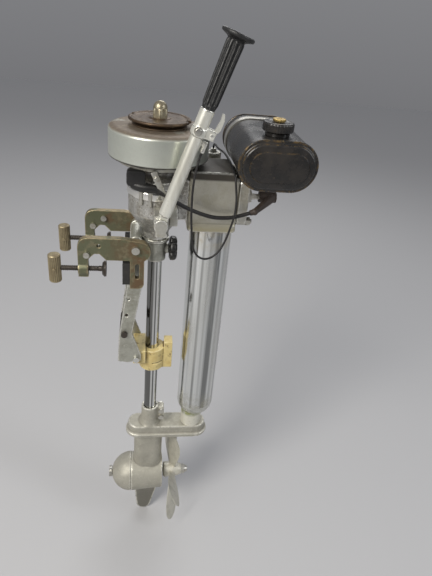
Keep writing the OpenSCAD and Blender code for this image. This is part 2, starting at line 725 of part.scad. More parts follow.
// Profile of the exhaust tube from its top to the neck of the stub, out by w
function dome_profile(w) = concat(
    arc(exhaust_r - 34, exhaust_dome_z, 34 + w, 0, -70, 8), [[0, stub_top - w]]);
module exhaust_tube() color("#c8cbcb") at_tube() translate([exhaust_x, 0, 0]) difference() {
    cyl_z(exhaust_dome_z, block_z0, exhaust_r);
    cyl_z(exhaust_dome_z - 1, block_z0 + 1, exhaust_r - exhaust_wall);
}
module exhaust_end() color("#d3d0c2") at_tube() difference() {
    union() {
        translate([exhaust_x, 0, 0]) rotate_extrude() polygon(concat([[0, exhaust_dome_z]], dome_profile(0)));
        translate([stub_x, 0, 0]) cyl_z(plate_z1, stub_top + 6, stub_d / 2);
    }
    translate([exhaust_x, 0, 0]) rotate_extrude()
        polygon(concat([[0, exhaust_dome_z + 1], [exhaust_r - exhaust_wall, exhaust_dome_z + 1]],
            dome_profile(-exhaust_wall)));
    translate([stub_x, 0, 0]) cyl_z(plate_z1 - 1, stub_top + 10, stub_d / 2 - 2.5);
}

// Carburettor with an upright mixing chamber for the slide and a float chamber beside it
module carburettor() color("#a8a596") at_tube() difference() {
    union() {
        translate([carb_x, 0, carb_z]) cyl_y(block_w / 2 + carb_flange.y, carb_y + carb_mouth, carb_throat_r);
        box([carb_x - carb_flange.x, block_w / 2, carb_z - carb_flange.z],
            [carb_x + carb_flange.x, block_w / 2 + carb_flange.y, carb_z + carb_flange.z]);
        translate([carb_x, carb_y, 0]) cyl_z(carb_z - 16, chamber_top + 8, chamber_r);
        translate([carb_x, carb_y, 0]) cyl_z(chamber_top + 8, chamber_top + 14, 5);
        translate([float_x, float_y, 0]) cyl_z(carb_z - 12, carb_z + 26, 16);
        box([carb_x, float_y - 6, carb_z - 6], [float_x, float_y + 6, carb_z + 6]);
        translate([0, float_y, tap_z]) cyl_x(float_x, tap_x - 7, 2.6);
    }
    translate([carb_x, 0, carb_z]) cyl_y(0, carb_y + 40, 9);
    translate([carb_x, carb_y, 0]) cyl_z(slide_z0 - part_gap, chamber_top, slide_r + fit_gap);
    translate([carb_x, carb_y, 0]) cyl_z(chamber_top - 1, chamber_top + 20, cable_d / 2 + 0.5);
}

module throttle_slide() color("#8d8f90") at_tube() translate([carb_x, carb_y, 0]) difference() {
    cyl_z(slide_z0, slide_z0 + slide_l, slide_r);
    cyl_z(slide_z0 + 6, slide_z0 + slide_l + 1, slide_r - 3);
}

// Tank with an oval section, a bead at each end, and a raised oval panel on each end cap
module tank_section(grow) translate([tank_x, tank_z])
    stadium(-tank_w / 2 - grow, tank_w / 2 + grow, tank_h / 2 + grow);

module fuel_tank() color("#1d1a17") at_tube() difference() {
    cap_in = 9;
    bead = 1.6;
    union() {
        plate_y(-tank_y + cap_in, tank_y - cap_in) tank_section(0);
        for (side = [-1, 1]) {
            translate([0, side * (tank_y - cap_in - 2), 0]) plate_y(-2, 2) tank_section(bead);
            translate([0, side * (tank_y - cap_in / 2 - 1.5), 0])
                plate_y(-cap_in / 2, cap_in / 2 - 1) tank_section(-4);
            translate([0, side * (tank_y - 2), 0]) plate_y(-2, 2) tank_section(-15);
        }
        translate([tank_x, -cap_y, 0]) cyl_z(tank_top - 2, neck_top, neck_r);
    }
    plate_y(-tank_y + cap_in + 3, tank_y - cap_in - 3) tank_section(-tank_wall);
    translate([tank_x, -cap_y, 0]) cyl_z(tank_top - 6, neck_top + 1, neck_r - 2);
    translate([tap_x, tap_y, 0]) cyl_z(tank_bottom - 1, tank_bottom + 4, 3);
}

// Arm bolted to the head, with a shelf that the tank sits on
module tank_bracket() color("#a4a294") at_tube() {
    foot_t = 5;
    rib = [[head_x1 + foot_t, tank_bottom - shelf_t - 16], [tank_x + 16, tank_bottom - shelf_t],
        [head_x1 + foot_t, tank_bottom - shelf_t]];
    box([head_x1, -18, cylinder_z + 18], [head_x1 + foot_t, 18, tank_bottom - shelf_t]);
    box([head_x1, -18, tank_bottom - shelf_t], [tank_x + 20, 18, tank_bottom]);
    box([head_x1 + 12, -20, tank_bottom - shelf_t], [tank_x + 20, strap_y, tank_bottom]);
    for (y = [-12, 12]) translate([0, y, 0]) plate_y(-2.5, 2.5) polygon(rib);
}

module tank_strap() color("#8f8c7a") at_tube() plate_y(strap_y, strap_y + strap_w) difference() {
    tank_section(strap_t + 0.1);
    tank_section(0.1);
}

module filler_cap() color("#1c1a19") at_tube() translate([tank_x, -cap_y, 0]) difference() {
    rotate_extrude() polygon([[0, tank_top + 0.6], [cap_d / 2 - 5, tank_top + 0.6], [cap_d / 2 - 5, neck_top],
        [cap_d / 2, neck_top + 3], [cap_d / 2, tank_top + cap_h - 3], [cap_d / 2 - 3, tank_top + cap_h],
        [0, tank_top + cap_h]]);
    cyl_z(tank_top, neck_top + part_gap, neck_r + fit_gap);
    cyl_z(neck_top, tank_top + cap_h + 1, 3 + fit_gap);
}

module vent_screw() color("#b79a52") at_tube() translate([tank_x, -cap_y, 0]) {
    cyl_z(neck_top + 2, tank_top + cap_h + 1, 3);
    cyl_z(tank_top + cap_h + 0.2, tank_top + cap_h + 4, 10);
}

module fuel_tap() color("#b3924a") at_tube() translate([tap_x, tap_y, 0]) difference() {
    union() {
        cyl_z(tap_z - 9, tank_bottom, 7);
        translate([0, 0, tap_z]) cyl_x(0, 16, 6);
    }
    cyl_z(tap_z, tank_bottom + 1, 3);
    translate([0, 0, tap_z]) cyl_x(-4, 17, 3.5 + fit_gap);
}

module tap_plunger() color("#7f2f24") at_tube() translate([tap_x, tap_y, tap_z]) {
    cyl_x(-3, 24, 3.5);
    cyl_x(24, 29, 7);
}

// One casting: collar, plate, leg, gear case behind its cap, and skeg
module lower_housing() color("#9fa09a") at_tube() difference() {
    collar_r = lower_collar_d / 2;
    leg_r = leg_w / 2;
    ear = collar_r + 12;
    union() {
        rotate_extrude() polygon([[0, plate_z0], [collar_r + 4, plate_z0], [collar_r + 4, plate_z1],
            [collar_r + 2, plate_z1 + 5], [collar_r, plate_z1 + 14],
            [collar_r, -lower_top], [0, -lower_top]]);
        box([0, -8, -lower_top - 36], [ear, 8, -lower_top - 2]);
        translate([0, 0, plate_z0]) linear_extrude(plate_t) stadium(plate_front, plate_back, plate_r);
        translate([0, 0, plate_z0]) linear_extrude(plate_lip_t)
            stadium(plate_front - plate_lip, plate_back + plate_lip, plate_r + plate_lip);
        translate([0, 0, shaft_z]) linear_extrude(plate_z0 - shaft_z) stadium(leg_front, leg_back, leg_r);
        translate([case_x, 0, shaft_z]) rotate([0, 90, 0])
            cylinder(h = case_tail - case_x, r1 = gear_case_r, r2 = gear_tail_r);
        plate_y(-skeg_t / 2, skeg_t / 2) polygon(concat(
            [[-31, shaft_z - 30], [-26, shaft_z - skeg_drop + 32]],
            arc(-8, shaft_z - skeg_drop + 16, 16, 190, 340), [[20, shaft_z - 66], [22, shaft_z - 30]]));
    }
    cyl_z(collar_socket_z, -lower_top + 1, tube_r + fit_gap);
    cyl_z(shaft_z, collar_socket_z + 1, drive_shaft_d / 2 + fit_gap);
    cyl_z(shaft_z, pinion_z1 + 1, pinion_r + 3);
    box([tube_r - 1, -1, collar_socket_z], [ear + 1, 1, -lower_top + 1]);
    for (d = collar_bolt_drops)
        translate([collar_r + collar_bolt_out, 0, -lower_top - d]) cyl_y(-20, 20, 3 + fit_gap);
    translate([0, 0, shaft_z]) cyl_x(case_x - 1, cavity_back, cavity_r);
    translate([0, 0, shaft_z]) cyl_x(0, case_tail + 1, prop_shaft_d / 2 + fit_gap);
    translate([stub_x, 0, 0]) cyl_z(plate_z0 - 1, plate_z1 + 1, stub_d / 2 - 3);
}

// Round front half of the gear case
module gear_case_cap() color("#a9a99f") at_tube() translate([case_x, 0, shaft_z]) difference() {
    sphere(gear_case_r);
    sphere(cap_cavity_r);
    cyl_x(0, gear_case_r + 10, gear_case_r + 10);
    cyl_x(-gear_case_r - 1, 0, 8 + fit_gap);
}

// Slotted grease plug in the nose
module nose_plug() color("#8d8c80") at_tube() translate([case_x, 0, shaft_z]) difference() {
    union() {
        cyl_x(-gear_case_r - 6, -gear_case_r + part_gap, 12);
        cyl_x(-gear_case_r, -cap_cavity_r - 1, 8);
    }
    box([-gear_case_r - 7, -13, -1.2], [-gear_case_r - 3, 13, 1.2]);
}

module collar_bolts() color("#8b8b84") at_tube()
    for (d = collar_bolt_drops)
        translate([lower_collar_d / 2 + collar_bolt_out, 0, -lower_top - d]) bolt_y(-8, 8, 3, 5.5);

module propeller_shaft() color("#8f9294") at_tube() translate([0, 0, shaft_z])
    cyl_x(case_x - shaft_nose, hub_x + hub_l + 10, prop_shaft_d / 2);

// Crown gear: a disc with straight teeth on its aft face
module crown_gear() color("#7b7d7c") at_tube() translate([0, 0, shaft_z]) difference() {
    teeth = pinion_teeth * gear_ratio;
    union() {
        cyl_x(crown_face - 11, crown_face, crown_r + 4);
        cyl_x(crown_face - 11, crown_face + 3, 14);
        for (i = [0:teeth - 1]) rotate([360 * i / teeth, 0, 0])
            box([crown_face - 1, -tooth_w / 2, crown_r - 2], [crown_face + 3.6, tooth_w / 2, crown_r + 4]);
    }
    cyl_x(crown_face - 12, crown_face + 4, prop_shaft_d / 2 + fit_gap);
}

module pinion() color("#7b7d7c") at_tube() difference() {
    union() {
        cyl_z(pinion_z0, pinion_z1, pinion_r - 2);
        for (i = [0:pinion_teeth - 1]) rotate(360 * (i + 0.5) / pinion_teeth)
            box([pinion_r - 3, -tooth_w / 2, pinion_z0], [pinion_r + 1.5, tooth_w / 2, pinion_z1]);
    }
    cyl_z(pinion_z0 - 1, pinion_z1 + 1, drive_shaft_d / 2 + fit_gap);
}

module drive_shaft() color("#8f9294") at_tube() cyl_z(pinion_z0 - 1, shaft_joint_z, drive_shaft_d / 2);

// Outline of a blade from the hub to its round tip
module blade_outline() {
    tip_r = blade_chord / 2;
    reach = prop_d / 2;
    polygon([[-9, 10], [9, 10], [tip_r * 0.62, reach * 0.35], [tip_r, reach - tip_r],
        [-tip_r, reach - tip_r], [-tip_r * 0.62, reach * 0.35]]);
    translate([0, reach - tip_r]) circle(tip_r);
}

module propeller() color("#b9bab2") at_tube() translate([blade_x, 0, shaft_z]) difference() {
    union() {
        rotate([0, 90, 0]) rotate_extrude() polygon([[0, -hub_l / 2], [hub_d / 2, -hub_l / 2],
            [hub_d / 2, hub_l / 6], [hub_d / 2 - 5, hub_l / 2], [0, hub_l / 2]]);
        for (i = [0:blades - 1])
            rotate([180 - prop_rest_angle + 360 * i / blades, 0, 0]) rotate([0, 0, blade_angle - 90])
            plate_y(-blade_t / 2, blade_t / 2) blade_outline();
    }
    cyl_x(-hub_l, hub_l, prop_shaft_d / 2 + fit_gap);
}

module propeller_nut() color("#a3a49b") at_tube() translate([hub_x + hub_l, 0, shaft_z]) difference() {
    union() {
        hex_x(0, 7, prop_shaft_d / 2 + 5);
        translate([7, 0, 0]) rotate([0, 90, 0])
            cylinder(h = 7, r1 = prop_shaft_d / 2 + 3, r2 = prop_shaft_d / 2);
    }
    cyl_x(-1, 10 + fit_gap, prop_shaft_d / 2 + fit_gap);
}

// Crankshaft with two full discs and a short pin stub on each, left open for the connecting rod
module crankshaft() color("#8f9294") at_tube() {
    web_gap = 8;
    cyl_z(shaft_joint_z, cylinder_z - web_gap, journal_r);
    cyl_z(cylinder_z + web_gap, flywheel_top + 2, journal_r);
    cyl_z(flywheel_top, pulley_top + nut_h / 2, 7);
    for (side = [-1, 1]) translate([0, 0, cylinder_z + side * (web_gap + web_t / 2)]) {
        cyl_z(-web_t / 2, web_t / 2, web_r);
        translate([crank_r, 0, 0]) cyl_z(side > 0 ? -web_t / 2 - 3 : 0, side > 0 ? 0 : web_t / 2 + 3, 6);
    }
}

// Cup-shaped flywheel over the magneto plate
module flywheel() color("#a7aaa0") at_tube() difference() {
    outer_r = flywheel_d / 2;
    top_t = 14;
    rotate_extrude() polygon([[0, flywheel_z], [outer_r - 1, flywheel_z], [outer_r, flywheel_z + 2],
        [outer_r, flywheel_top - 5], [outer_r - 3, flywheel_top - 1],
        [outer_r - 7, flywheel_top], [0, flywheel_top]]);
    difference() {
        cyl_z(flywheel_z - 1, flywheel_top - top_t, outer_r - 9);
        cyl_z(flywheel_z + 8, flywheel_top, journal_r + 8);
    }
    cyl_z(flywheel_z - 1, flywheel_top + 1, journal_r + fit_gap);
}

// Rope pulley with a groove and two rope notches
module starter_pulley() color("#5d4a35") at_tube() difference() {
    r = pulley_d / 2;
    rotate_extrude() polygon([[0, flywheel_top], [r - 6, flywheel_top], [r - 6, flywheel_top + 2],
        [r - 12, flywheel_top + 4], [r - 12, flywheel_top + 6], [r, flywheel_top + 8],
        [r, pulley_top - 2], [r - 6, pulley_top], [0, pulley_top]]);
    cyl_z(flywheel_top - 1, pulley_top + 1, 7 + fit_gap);
    cyl_z(flywheel_top - 1, flywheel_top + 2 + fit_gap, journal_r + fit_gap);
    for (a = [70, 250]) rotate(a) box([r - 5, -3, flywheel_top + 6], [r + 1, 3, pulley_top + 1]);
}

module flywheel_nut() color("#b1a687") at_tube() difference() {
    dome = nut_d / 2 * cos(30);
    union() {
        intersection() {
            translate([0, 0, pulley_top]) cylinder(h = nut_h - dome, r = nut_d / 2, $fn = 6);
            cyl_z(pulley_top, pulley_top + nut_h, nut_d / 2 - 0.4);
        }
        intersection() {
            translate([0, 0, pulley_top + nut_h - dome]) sphere(dome);
            cyl_z(pulley_top + nut_h - dome - 1, pulley_top + nut_h, nut_d);
        }
    }
    cyl_z(pulley_top - 1, pulley_top + nut_h / 2 + fit_gap, 7 + fit_gap);
}

// Lug on the crankcase with two ears for the tiller's eye
module tiller_bracket() color("#c4c1b2") at_tube() {
    ear_r = eye_r + 1;
    inner_y = -tiller_y + eye_t / 2 + part_gap;
    outer_y = -tiller_y - eye_t / 2 - part_gap;
    difference() {
        union() {
            box([tiller_x - 10, inner_y, tiller_z - 10], [tiller_x + 12, -case_r + 12, tiller_z + 10]);
            translate([tiller_x, 0, tiller_z]) cyl_y(inner_y, inner_y + ear_t, ear_r);
            translate([tiller_x, 0, tiller_z]) cyl_y(outer_y - ear_t, outer_y, ear_r);
            box([tiller_x - 8, outer_y - ear_t, tiller_z - 17],
                [tiller_x + 10, inner_y + ear_t, tiller_z - 12]);
            for (y = [outer_y - ear_t, inner_y])
                box([tiller_x - 8, y, tiller_z - 17], [tiller_x + 8, y + ear_t, tiller_z - 4]);
            translate([tiller_x + 8, 0, 0]) rotate([90, 0, 90]) linear_extrude(18)
                polygon([[inner_y + 6, tiller_z - 8], [inner_y + 6, tiller_z + 6], [-case_r, tiller_z + 36],
                    [-block_w / 2 + 8, tiller_z + 36], [-block_w / 2 + 8, tiller_z - 8]]);
        }
        cyl_z(0, case_top, case_r + 0.1);
        box([20, -block_w / 2 + 6, chamber_z0 - 8], [block_x0, block_w / 2, chamber_z1 + 8]);
    }
    translate([tiller_x, 0, tiller_z]) cyl_y(outer_y - 0.1, inner_y + 0.1, tiller_bolt_r);
}

module throttle_cable() color("#171717") at_tube() cord(smooth(cable_route), cable_d / 2);

module at_tiller() at_tube()
    translate([tiller_x, -tiller_y, tiller_z]) rotate([0, tiller_lean, 0]) children();

// Tiller with its eye, neck, sleeve and the clamp band of the throttle lever
module tiller_tube() color("#cfccbd") at_tiller() difference() {
    union() {
        cyl_y(-eye_t / 2, eye_t / 2, eye_r);
        box([-7, -eye_t / 2, 0], [7, eye_t / 2, 18]);
        cyl_z(16, tiller_l - 4, tiller_d / 2 - 2);
        cyl_z(16, clamp_z + 2, tiller_d / 2);
        cyl_z(clamp_z - 1, grip_z0, tiller_d / 2 + 1);
        cyl_z(clamp_z - 8, clamp_z + 4, tiller_d / 2 + 2.5);
        for (y = [-1, 1]) translate([0, y * 6, 0])
            box([6, -2, clamp_z - 7], [lever_t + 5, 2, clamp_z + 7]);
        translate([lever_t, 0, clamp_z]) cyl_y(-9, 9, 2.5);
        translate([adjuster_x, 0, 0]) cyl_z(adjuster_z0, clamp_z - 12, 3.6);
        box([tiller_d / 2 - 2, -3, clamp_z - 18], [adjuster_x, 3, clamp_z - 12]);
    }
    cyl_y(-eye_t, eye_t, tiller_bolt_r + fit_gap);
    translate([adjuster_x, 0, 0]) cyl_z(adjuster_z0 - 1, clamp_z, 1.9);
}

// Rubber grip with lengthwise ribs and a flange at its end
module tiller_grip() color("#1a1b1c") at_tiller() difference() {
    ribs = 10;
    union() {
        translate([0, 0, grip_z0]) cylinder(h = grip_l - 4, r1 = grip_d / 2 - 2.5, r2 = grip_d / 2 - 1);
        for (i = [0:ribs - 1]) rotate(360 * i / ribs)
            box([6, -1.2, grip_z0 + 6], [grip_d / 2, 1.2, tiller_l - 4]);
        translate([0, 0, tiller_l - 8]) cylinder(h = 6, r1 = grip_d / 2, r2 = grip_flange_d / 2);
        cyl_z(tiller_l - 2, tiller_l + 2, grip_flange_d / 2);
    }
    cyl_z(grip_z0 - 1, tiller_l - 4 + fit_gap, tiller_d / 2 - 2 + fit_gap);
}

// Finger lever of the throttle, between the lugs of its clamp
module throttle_lever() color("#bfbdb0") at_tiller() translate([lever_t, 0, clamp_z]) difference() {
    union() {
        cyl_y(-3.6, 3.6, 5);
        plate_y(-3, 3) polygon([[-3, 0], [3.5, -3], [9, 10], [9, lever_l - 8], [6, lever_l],
            [3, lever_l], [4, lever_l - 10], [2, 8]]);
    }
    cyl_y(-5, 5, 2.5 + fit_gap);
}

clamp_cheek_port();
clamp_cheek_starboard();
cheek_bolts();
rear_pads();
tilt_pivot_bolt();
clamp_screw_port();
clamp_handle_port();
clamp_pad_port();
clamp_screw_starboard();
clamp_handle_starboard();
clamp_pad_starboard();
swivel_collar();
friction_knob();
frame_strut_port();
frame_strut_starboard();
saddle_bush();
frame_bolts();
drive_tube();
crankcase();
cylinder_block();
cylinder_head();
head_studs();
spark_plug();
plug_cap();
ignition_lead();
ignition_coil();
magneto_plate();
piston();
gudgeon_pin();
connecting_rod();
exhaust_tube();
exhaust_end();
carburettor();
throttle_slide();
fuel_tank();
tank_bracket();
tank_strap();
filler_cap();
vent_screw();
fuel_tap();
tap_plunger();
lower_housing();
gear_case_cap();
nose_plug();
collar_bolts();
propeller_shaft();
crown_gear();
propeller();
propeller_nut();
drive_shaft();
pinion();
crankshaft();
flywheel();
starter_pulley();
flywheel_nut();
tiller_bracket();
tiller_tube();
tiller_grip();
throttle_lever();
throttle_cable();
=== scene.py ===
"""Looks of a small outboard motor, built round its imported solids.

Frame: +X aft, +Y starboard, +Z up along the drive tube, metres. New pieces are surfaces worked out
with numpy: profiles turned about an axis, outlines carried along a path, and grids of two
parameters. Their sizes are written in millimetres from the drive tube's axis.
"""

import json
import math

import bmesh
import bpy
import numpy as np
from mathutils import Matrix

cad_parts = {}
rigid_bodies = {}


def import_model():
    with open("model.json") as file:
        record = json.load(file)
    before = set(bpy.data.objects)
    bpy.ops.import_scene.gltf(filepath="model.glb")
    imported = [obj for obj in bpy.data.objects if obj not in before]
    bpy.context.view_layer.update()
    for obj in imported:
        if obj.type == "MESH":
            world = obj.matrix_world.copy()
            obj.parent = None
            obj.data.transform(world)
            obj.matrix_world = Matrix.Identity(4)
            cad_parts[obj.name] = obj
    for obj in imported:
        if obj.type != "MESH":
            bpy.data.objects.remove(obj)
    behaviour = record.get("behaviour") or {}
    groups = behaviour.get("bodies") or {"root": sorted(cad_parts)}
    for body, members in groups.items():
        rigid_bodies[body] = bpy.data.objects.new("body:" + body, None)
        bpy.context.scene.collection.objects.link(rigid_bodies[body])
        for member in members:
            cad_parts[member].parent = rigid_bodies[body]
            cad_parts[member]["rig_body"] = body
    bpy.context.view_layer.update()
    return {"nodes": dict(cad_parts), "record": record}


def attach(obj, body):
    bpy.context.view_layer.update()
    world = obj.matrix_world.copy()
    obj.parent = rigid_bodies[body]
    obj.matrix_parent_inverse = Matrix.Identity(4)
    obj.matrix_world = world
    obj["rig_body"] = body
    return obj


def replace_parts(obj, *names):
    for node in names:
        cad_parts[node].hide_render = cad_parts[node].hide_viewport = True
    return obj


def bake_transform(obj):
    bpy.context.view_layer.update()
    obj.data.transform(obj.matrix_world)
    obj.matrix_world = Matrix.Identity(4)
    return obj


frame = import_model()

MM = 0.001
TUBE = np.array([0.067, 0.0, 0.0])
X, Y, Z = np.eye(3)
MERGE = 2e-6

# Places in millimetres from the drive tube, as the solids have them
CRANK_AXIS = (0, 0, 0)
EXHAUST_AXIS = (93.5, 0, 0)
STUB_AXIS = (88, 0, 0)
TANK_X, TANK_Z = 172, 174
TANK_HALF, TANK_RADIUS = 22, 37
FILLER_AXIS = (TANK_X, -50, 0)
SCREW_OUT, SCREW_LEVEL, SCREW_PITCH = 57.0, -18, 3.0
HANDLE_X = -161
KNOB_AXIS = (0, 0, -5)
SHAFT_LEVEL, BLADES_X = -578, 56.0
BLADES, FIRST_BLADE = 5, 148

LEAN = math.radians(18.5)
ALONG = np.array([math.sin(LEAN), 0, math.cos(LEAN)])
SQUARE = np.array([math.cos(LEAN), 0, -math.sin(LEAN)])
TILLER_FOOT = np.array([4.0, -90.0, 78.0])


# Points and surfaces


def at(points):
    """Millimetres from the drive tube to metres in the part's frame."""
    return TUBE + np.asarray(points, float) * MM


def angles(count):
    """Even angles round a full turn: 2 pi k / count."""
    return 2 * math.pi * np.arange(count) / count


def circle(count, start=0.0):
    """Unit circle: angle a = start + 2 pi k / count, point (cos a, sin a)."""
    a = start + angles(count)
    return np.stack([np.cos(a), np.sin(a)], 1)


def arc(cx, cy, r, a0, a1, n=10):
    """Arc points (cx + r cos a, cy + r sin a) from angle a0 to a1 in degrees."""
    a = np.radians(np.linspace(a0, a1, n))
    return np.stack([cx + r * np.cos(a), cy + r * np.sin(a)], 1)


def smooth_path(points, count):
    """Curve through the points: cubic blend of four neighbours, at even steps of arc length."""
    p = np.asarray(points, float)
    ext = np.vstack([2 * p[0] - p[1], p, 2 * p[-1] - p[-2]])
    t = np.linspace(0, len(p) - 1, 40 * len(p))
    i = np.minimum(t.astype(int), len(p) - 2)
    u = (t - i)[:, None]
    a, b, c, d = ext[i], ext[i + 1], ext[i + 2], ext[i + 3]
    square, cube = 2 * a - 5 * b + 4 * c - d, 3 * b - a - 3 * c + d
    line = 0.5 * (2 * b + (c - a) * u + square * u**2 + cube * u**3)
    s = np.concatenate([[0], np.cumsum(np.linalg.norm(np.diff(line, axis=0), axis=1))])
    even = np.linspace(0, s[-1], count)
    return np.stack([np.interp(even, s, line[:, k]) for k in range(3)], 1)


def sides_along(path, hint):
    """At each path point, with the tangent by central differences: side = tangent x hint, made
    unit, and up = side x tangent."""
    t = np.gradient(path, axis=0)
    t /= np.linalg.norm(t, axis=1, keepdims=True)
    side = np.cross(t, np.asarray(hint, float))
    side /= np.linalg.norm(side, axis=1, keepdims=True)
    return side, np.cross(side, t)


def swept(path, radius, sides, hint=(0.31, 1.0, 0.17)):
    """Tube: point = path(i) + radius(i) (cos a side + sin a up), closed with a disc at each end."""
    path = np.asarray(path, float)
    side, up = sides_along(path, hint)
    ring = circle(sides)
    r = np.broadcast_to(np.asarray(radius, float), (len(path),))[:, None, None]
    wall = path[:, None] + r * (ring[None, :, :1] * side[:, None] + ring[None, :, 1:] * up[:, None])
    first, last = (np.repeat(end[:, None], sides, 1) for end in (path[:1], path[-1:]))
    return np.concatenate([first, wall, last])


def axes_for(direction):
    """Two unit vectors square to a direction, right-handed with it, and the direction made unit."""
    d = np.asarray(direction, float)
    d = d / np.linalg.norm(d)
    a = np.cross(d, X if abs(d[0]) < 0.8 else Y)
    a /= np.linalg.norm(a)
    return a, np.cross(d, a), d


def lathe(profile, origin, direction, sides, shape=None):
    """Turned form: point = origin + r (cos a p + sin a q) + h direction, for profile rows (r, h)
    and p, q square to the direction. shape(a, r, h) gives another radius where one is wanted."""
    prof = np.asarray(profile, float)
    p, q, d = axes_for(direction)
    a = angles(sides)[None, :]
    r = prof[:, :1] * np.ones((1, sides))
    if shape is not None:
        r = shape(a, r, prof[:, 1:] * np.ones((1, sides)))
    ring = np.cos(a)[..., None] * p + np.sin(a)[..., None] * q
    return at(np.asarray(origin, float) + r[..., None] * ring + prof[:, 1][:, None, None] * d)


def rounded(profile, radius, steps):
    """Profile with each inner corner cut back by radius along both sides and joined by a quadratic
    curve."""
    p = np.asarray(profile, float)
    out = [p[:1]]
    for a, b, c in zip(p[:-2], p[1:-1], p[2:]):
        la, lc = np.linalg.norm(a - b), np.linalg.norm(c - b)
        k = min(radius, 0.45 * la, 0.45 * lc)
        s, e = b + (a - b) * k / la, b + (c - b) * k / lc
        u = np.linspace(0, 1, steps + 1)[:, None]
        out.append((1 - u) ** 2 * s + 2 * u * (1 - u) * b + u**2 * e)
    out.append(p[-1:])
    return np.concatenate(out)


def closed(profile):
    """Profile whose last point is its first again."""
    p = np.asarray(profile, float)
    return np.vstack([p, p[:1]])


def hexed(flat, corner):
    """Six flats: radius = flat / cos(angle from the nearest flat's middle), held below corner,
    where the profile is wider."""
    def shape(a, r, h):
        """The smaller of the profile's radius and the flat's."""
        off = (a % (math.pi / 3)) - math.pi / 6
        return np.minimum(r, np.minimum(flat / np.cos(off), corner))
    return shape


def stadium_ring(half, r, count):
    """Round-ended outline: half circles of radius r about (-half, 0) and (half, 0), joined by
    straights."""
    c = circle(count, math.pi / count)
    return c * r + np.stack([np.where(c[:, 0] > 0, half, -half), np.zeros(count)], 1)


def rect_ring(hx, hz, r, count):
    """Rounded rectangle: quarter circles of radius r about the four inner corners."""
    c = circle(count, math.pi / count)
    return c * r + np.sign(c) * np.array([hx - r, hz - r])


def slab(a, b, across, width, thick, r=0.5):
    """Flat bar from a to b: rounded rectangles of width by thick, drawn in at both ends."""
    a, b, w = (np.asarray(v, float) for v in (a, b, across))
    d = (b - a) / np.linalg.norm(b - a)
    w = w - d * (w @ d)
    w /= np.linalg.norm(w)
    n = np.cross(d, w)
    draw = -thick / 2
    rows = []
    for place, grow in ((a, draw), (a, -r), (a + d * r, 0), (b - d * r, 0), (b, -r), (b, draw)):
        wide, high = max(width / 2 + grow, 0.01), max(thick / 2 + grow, 0.005)
        ring = rect_ring(wide, high, max(r + grow, 0.004), 24)
        rows.append(place + ring[:, :1] * w + ring[:, 1:] * n)
    return at(np.stack(rows))


def bolt_head(place, direction, flat, high):
    """Six-sided head with a drawn-in top, on a washer, both turned about the direction."""
    rim, wide = flat * 1.45, flat * 1.15
    washer = rounded([(0, 0), (rim, 0), (rim, high * 0.22), (0, high * 0.22)], 0.3, 2)
    head = rounded([(0, 0), (wide, 0), (wide, high * 0.8), (flat * 0.9, high), (0, high)], 0.3, 2)
    return [lathe(washer, place, direction, 40),
            lathe(head, place, direction, 48, hexed(flat, flat * 1.12))]


def grid_faces(rows, cols):
    """Quads of a grid, row by row, each from corner (i, j) to (i + 1, j + 1); the last column joins
    the first."""
    i, j = np.meshgrid(np.arange(rows - 1), np.arange(cols), indexing="ij")
    k = (j + 1) % cols
    quads = [i * cols + j, i * cols + k, (i + 1) * cols + k, (i + 1) * cols + j]
    return np.stack(quads, -1).reshape(-1, 4)


def piece(name, grids, body, material, angle=38, shades=None):
    """One mesh from grids of points (rows, columns, 3): quads, doubles merged, faces turned
    outwards, shaded smooth up to angle. shades holds each grid's values for the wear attribute:
    rubbed edges, and on the screw handles the flute depth, which the handle finish turns into
    painted shade in the flutes."""
    verts, faces, base = [], [], 0
    for grid in grids:
        rows, cols = grid.shape[:2]
        verts.append(grid.reshape(-1, 3))
        faces.append(grid_faces(rows, cols) + base)
        base += rows * cols
    mesh = bpy.data.meshes.new(name)
    mesh.from_pydata(np.concatenate(verts), [], np.concatenate(faces).tolist())
    if shades is not None:
        tones = np.concatenate([np.asarray(tone, np.float32).reshape(-1) for tone in shades])
        mesh.attributes.new("wear_and_shade", "FLOAT", "POINT").data.foreach_set("value", tones)
    bm = bmesh.new()
    bm.from_mesh(mesh)
    bmesh.ops.remove_doubles(bm, verts=bm.verts, dist=MERGE)
    bmesh.ops.dissolve_degenerate(bm, edges=bm.edges, dist=MERGE)
    bmesh.ops.recalc_face_normals(bm, faces=bm.faces)
    bm.to_mesh(mesh)
    bm.free()
    mesh.polygons.foreach_set("use_smooth", np.ones(len(mesh.polygons), bool))
    mesh.set_sharp_from_angle(angle=math.radians(angle))
    mesh.materials.append(material)
    obj = bpy.data.objects.new(name, mesh)
    bpy.context.scene.collection.objects.link(obj)
    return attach(obj, body)


# Finishes


